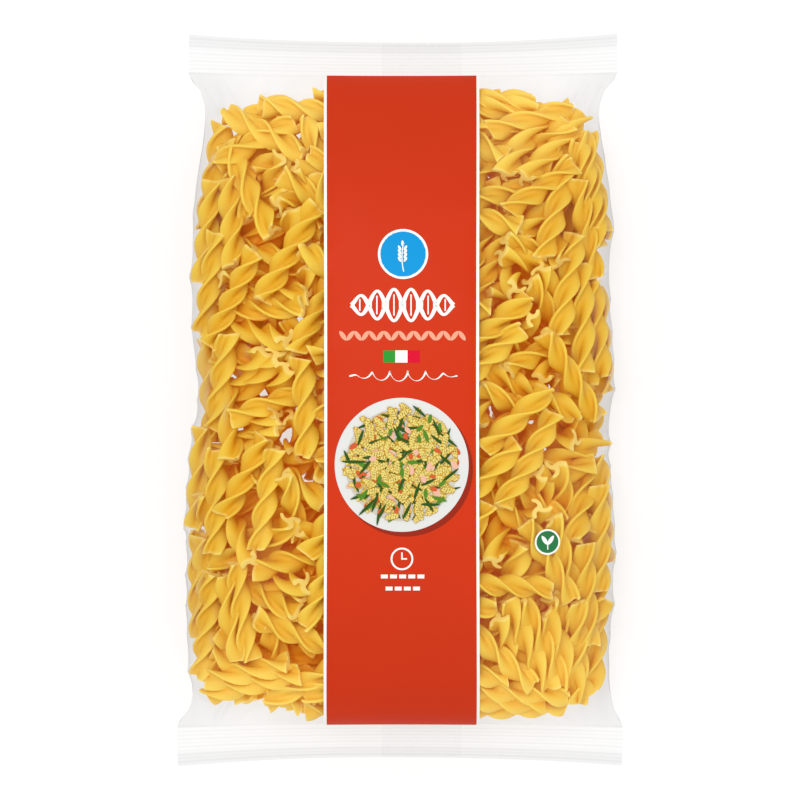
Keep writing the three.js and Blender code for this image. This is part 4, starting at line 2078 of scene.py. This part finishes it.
@dataclass(frozen=True)
class InkFinish:
    """Satin ink on film: an even colour under a soft clear gloss, and painted shade near the
    seals.

    Attributes:
        ink: Its colour.
        roughness: Of its own surface.
        coat: The weight of the gloss.
        dim: How much darker it is near the seals, a painted shade.

        UNEVEN: The brightness of its fainter patches.
        GRAIN: The scales of its surface and of its patches.
    """

    ink: Ink
    roughness: float = 0.55
    coat: float = 0.03
    dim: float = 0.1

    UNEVEN = 0.94
    GRAIN = (420.0, 30.0)

    def material(self) -> bpy.types.Material:
        """Builds the material.

        Returns:
            The material.
        """
        made, wiring = blank(f"ink_{self.ink.name.lower()}")
        grain = wiring.grain(*self.GRAIN)
        full = linear(*self.ink.value)
        thin = tuple(self.UNEVEN * part for part in full[:3]) + (1.0,)
        colour = wiring.mix(grain.outputs["Slow"], full, thin)
        # Painted shade: darker towards the seals, where light falls off over the pack's curved
        # ends.
        dim = wiring.mark("dim")
        dark = wiring.math("SUBTRACT", 1.0, wiring.math("MULTIPLY", dim, self.dim))
        colour = wiring.add("ShaderNodeMix", {0: 1.0, 6: colour, 7: dark}, data_type="RGBA",
                            blend_type="MULTIPLY").outputs[2]
        bump = wiring.add("ShaderNodeBump", {
            "Height": grain.outputs["Fine"], "Distance": 0.00002, "Strength": 0.6})
        body = wiring.add("ShaderNodeBsdfPrincipled", {
            "Base Color": colour, "Normal": bump.outputs[0], "Roughness": self.roughness,
            "Coat Weight": self.coat, "Coat Roughness": 0.3, "Specular IOR Level": 0.1})
        wiring.add("ShaderNodeOutputMaterial", {"Surface": body.outputs[0]})
        return made


@dataclass(frozen=True)
class Studio:
    """The plain white table, the soft lights and the camera straight above the pack.

    Attributes:
        lens: The camera's focal length, in millimetres on a 36 mm sensor.
        width: What the picture spans at the seals' height, in millimetres.
        focus_height: The seals' height, in millimetres.
        sky: The strength of the even light.
        key: The power of the soft main light, in watts.
        fill: The power of the second, broader light, in watts.
        floor_glow: How brightly the table shines by itself, as a light table does.

        SENSOR: The camera's sensor, in millimetres.
        TONES: The two colours of the table's grain.
        GRAIN: The scales of that grain.
        TABLE: Half the table's side, and its height, in millimetres.
        KEY: The main light's place and side, in metres.
        FILL: The second light's place and side, in metres.
    """

    lens: float = 150.0
    width: float = 296.0
    focus_height: float = 19.0
    sky: float = 0.85
    key: float = 6.0
    fill: float = 1.8
    floor_glow: float = 0.67

    SENSOR = 36.0
    TONES = ((0.29, 0.295, 0.30, 1), (0.31, 0.315, 0.32, 1))
    GRAIN = (300.0, 4.0)
    TABLE = (1500.0, -0.05)
    KEY = ((-0.25, 0.35, 1.35), 0.6)
    FILL = ((0.5, -0.8, 1.2), 0.9)

    def camera(self) -> bpy.types.Object:
        """Places the camera so that the top of the picture is +Y.

        Returns:
            The camera.
        """
        data = bpy.data.cameras.new("camera")
        data.lens = self.lens
        data.sensor_width = self.SENSOR
        made = bpy.data.objects.new("camera", data)
        away = self.width * self.lens / data.sensor_width
        made.location = Vector((0, 0, self.focus_height + away)) * MM
        bpy.context.scene.collection.objects.link(made)
        bpy.context.scene.camera = made
        return made

    def floor(self) -> bpy.types.Object:
        """A wide white table top just under the pack.

        Returns:
            The table.
        """
        made, wiring = blank("white_table")
        tone = wiring.mix(wiring.grain(*self.GRAIN).outputs["Fine"], *self.TONES)
        body = wiring.add("ShaderNodeBsdfPrincipled", {
            "Base Color": tone, "Roughness": 0.7, "Specular IOR Level": 0.2,
            "Emission Color": (1, 1, 1, 1), "Emission Strength": self.floor_glow})
        wiring.add("ShaderNodeOutputMaterial", {"Surface": body.outputs[0]})
        half, height = self.TABLE
        side = np.linspace(-half, half, 9)
        x, y = np.meshgrid(side, side)
        points = np.stack([x, y, np.full_like(x, height)], -1)
        table = bpy.data.objects.new("table", Surface.grid(points).mesh("table"))
        table.data.materials.append(made)
        bpy.context.scene.collection.objects.link(table)
        return table

    def light(self, name: str, place: tuple[float, float, float], size: float,
              power: float) -> bpy.types.Object:
        """A soft square light that faces the pack.

        Args:
            name: The light's name.
            place: Where it hangs, in metres.
            size: Its side, in metres.
            power: In watts.

        Returns:
            The light.
        """
        data = bpy.data.lights.new(name, "AREA")
        data.energy = power
        data.size = size
        made = bpy.data.objects.new(name, data)
        made.location = place
        made.rotation_mode = "QUATERNION"
        made.rotation_quaternion = (-Vector(place)).to_track_quat("-Z", "Y")
        bpy.context.scene.collection.objects.link(made)
        return made

    def build(self) -> None:
        """Makes the table, the lights, the even sky and the camera."""
        self.floor()
        self.camera()
        self.light("key", *self.KEY, self.key)
        self.light("fill", *self.FILL, self.fill)
        world = bpy.data.worlds.new("studio")
        world.use_nodes = True
        sky = world.node_tree.nodes["Background"]
        sky.inputs["Color"].default_value = (1, 1, 1, 1)
        sky.inputs["Strength"].default_value = self.sky
        bpy.context.scene.world = world
        bpy.context.scene.view_settings.view_transform = "Standard"


class Packet:
    """The whole pasta packet, built piece by piece.

    Attributes:
        PARTS: The pasta pieces, from the front to the back.
        DEEP: Depths below the film between which the pasta counts as deep.
        UPRIGHT: Upward shares of the normal between which a surface faces aside.
        THIN: Distances from the middle between which the bag gets thin.
        LOWEST: The least height of the pasta.
        CREASE: The angle past which an edge of the pasta is sharp.
    """

    PARTS = ("front", "upper_middle", "lower_middle", "back")
    DEEP = (6.0, 15.0)
    UPRIGHT = (0.0, 0.95)
    THIN = (72.0, 112.0)
    LOWEST = 0.4
    CREASE = math.radians(55)

    def __init__(self) -> None:
        """Sets out the parts that the pieces share."""
        self.shape = PackShape()
        self.filling = Filling(Container(self.shape), Spiral())
        self.film = FilmBody(self.shape)
        self.inks: dict[Ink, bpy.types.Material] = {}

    def pasta(self) -> Surface:
        """Packs the spirals and makes them in a few pieces, from the front to the back.

        Returns:
            All spirals in one surface, for the film.
        """
        poses = self.filling.settle()
        order = np.argsort(-poses.ends[:, :, 2].mean(1))
        finish = PastaFinish().material()
        shares = np.array_split(order, len(self.PARTS))
        parts = [self.filling.spiral.surface(poses.only(chosen)) for chosen in shares]
        for part, chosen in zip(parts, shares):
            height = part.points[:, 2].reshape(len(chosen), -1)
            height += np.maximum(0, self.LOWEST - height.min(1, keepdims=True))
        for part, where in zip(parts, self.PARTS):
            # The marks deep, aside and thin steer the pasta's painted shade, painted paler colour
            # and painted glow.
            depth = self.filling.container.sample(part.points)[0]
            part.marks["deep"] = smoothstep(depth, *self.DEEP)
            part.marks["aside"] = 1 - smoothstep(part.upward(), *self.UPRIGHT)
            part.marks["thin"] = smoothstep(np.abs(part.points[:, 1]), *self.THIN)
            part.sharp = self.CREASE
            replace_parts(part.piece(f"pasta_{where}", finish, Slot.PASTA), "bag")
            LOG.info("pasta_%s: %d triangles", where, len(part.faces))
        return Surface.joined(parts)

    def wrap(self, pasta: Surface) -> None:
        """Drapes the film and adds the seals.

        Args:
            pasta: All spirals.
        """
        clear = FilmFinish("clear_film").material()
        welded = FilmFinish("welded_film", haze=0.01, patches=0.01, tint=0.984, edge=0.1,
                            dull=0.045, crinkle=0.0001).material()
        folded = FilmFinish("folded_film", haze=0.006, patches=0.01, edge=0.0,
                            dull=0.0).material()
        body = self.film.drape(pasta).piece("film_body", clear, Slot.FILM)
        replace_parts(FilmFinish.unlit(body), "bag")
        LOG.info("film_body: %d faces", len(body.data.polygons))
        seals = Seals(self.shape)
        for name, surface, finish in (("top", seals.seal(1), welded),
                                      ("bottom", seals.seal(-1), welded),
                                      ("fin", seals.fin(), folded)):
            FilmFinish.unlit(surface.piece(f"seal_{name}", finish, Slot.FILM))
            LOG.info("seal_%s: %d faces", name, len(surface.faces))

    def printed(self) -> None:
        """Prints the band and its figures on the film."""
        art = Artwork(self.film)
        for layer in art.layers():
            if layer.ink not in self.inks:
                self.inks[layer.ink] = InkFinish(layer.ink).material()
            art.laid(layer).piece(f"print_{layer.name}", self.inks[layer.ink], Slot.PRINT)
            LOG.info("print_%s: ink %s", layer.name, layer.ink.name)

    def build(self) -> None:
        """Makes the filling, the film and the print."""
        self.wrap(self.pasta())
        self.printed()


def main() -> None:
    """Builds the packet and the studio in order."""
    logging.basicConfig(level=logging.INFO, format="%(message)s")
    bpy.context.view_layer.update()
    Packet().build()
    Studio().build()


if __name__ == "__main__":
    main()
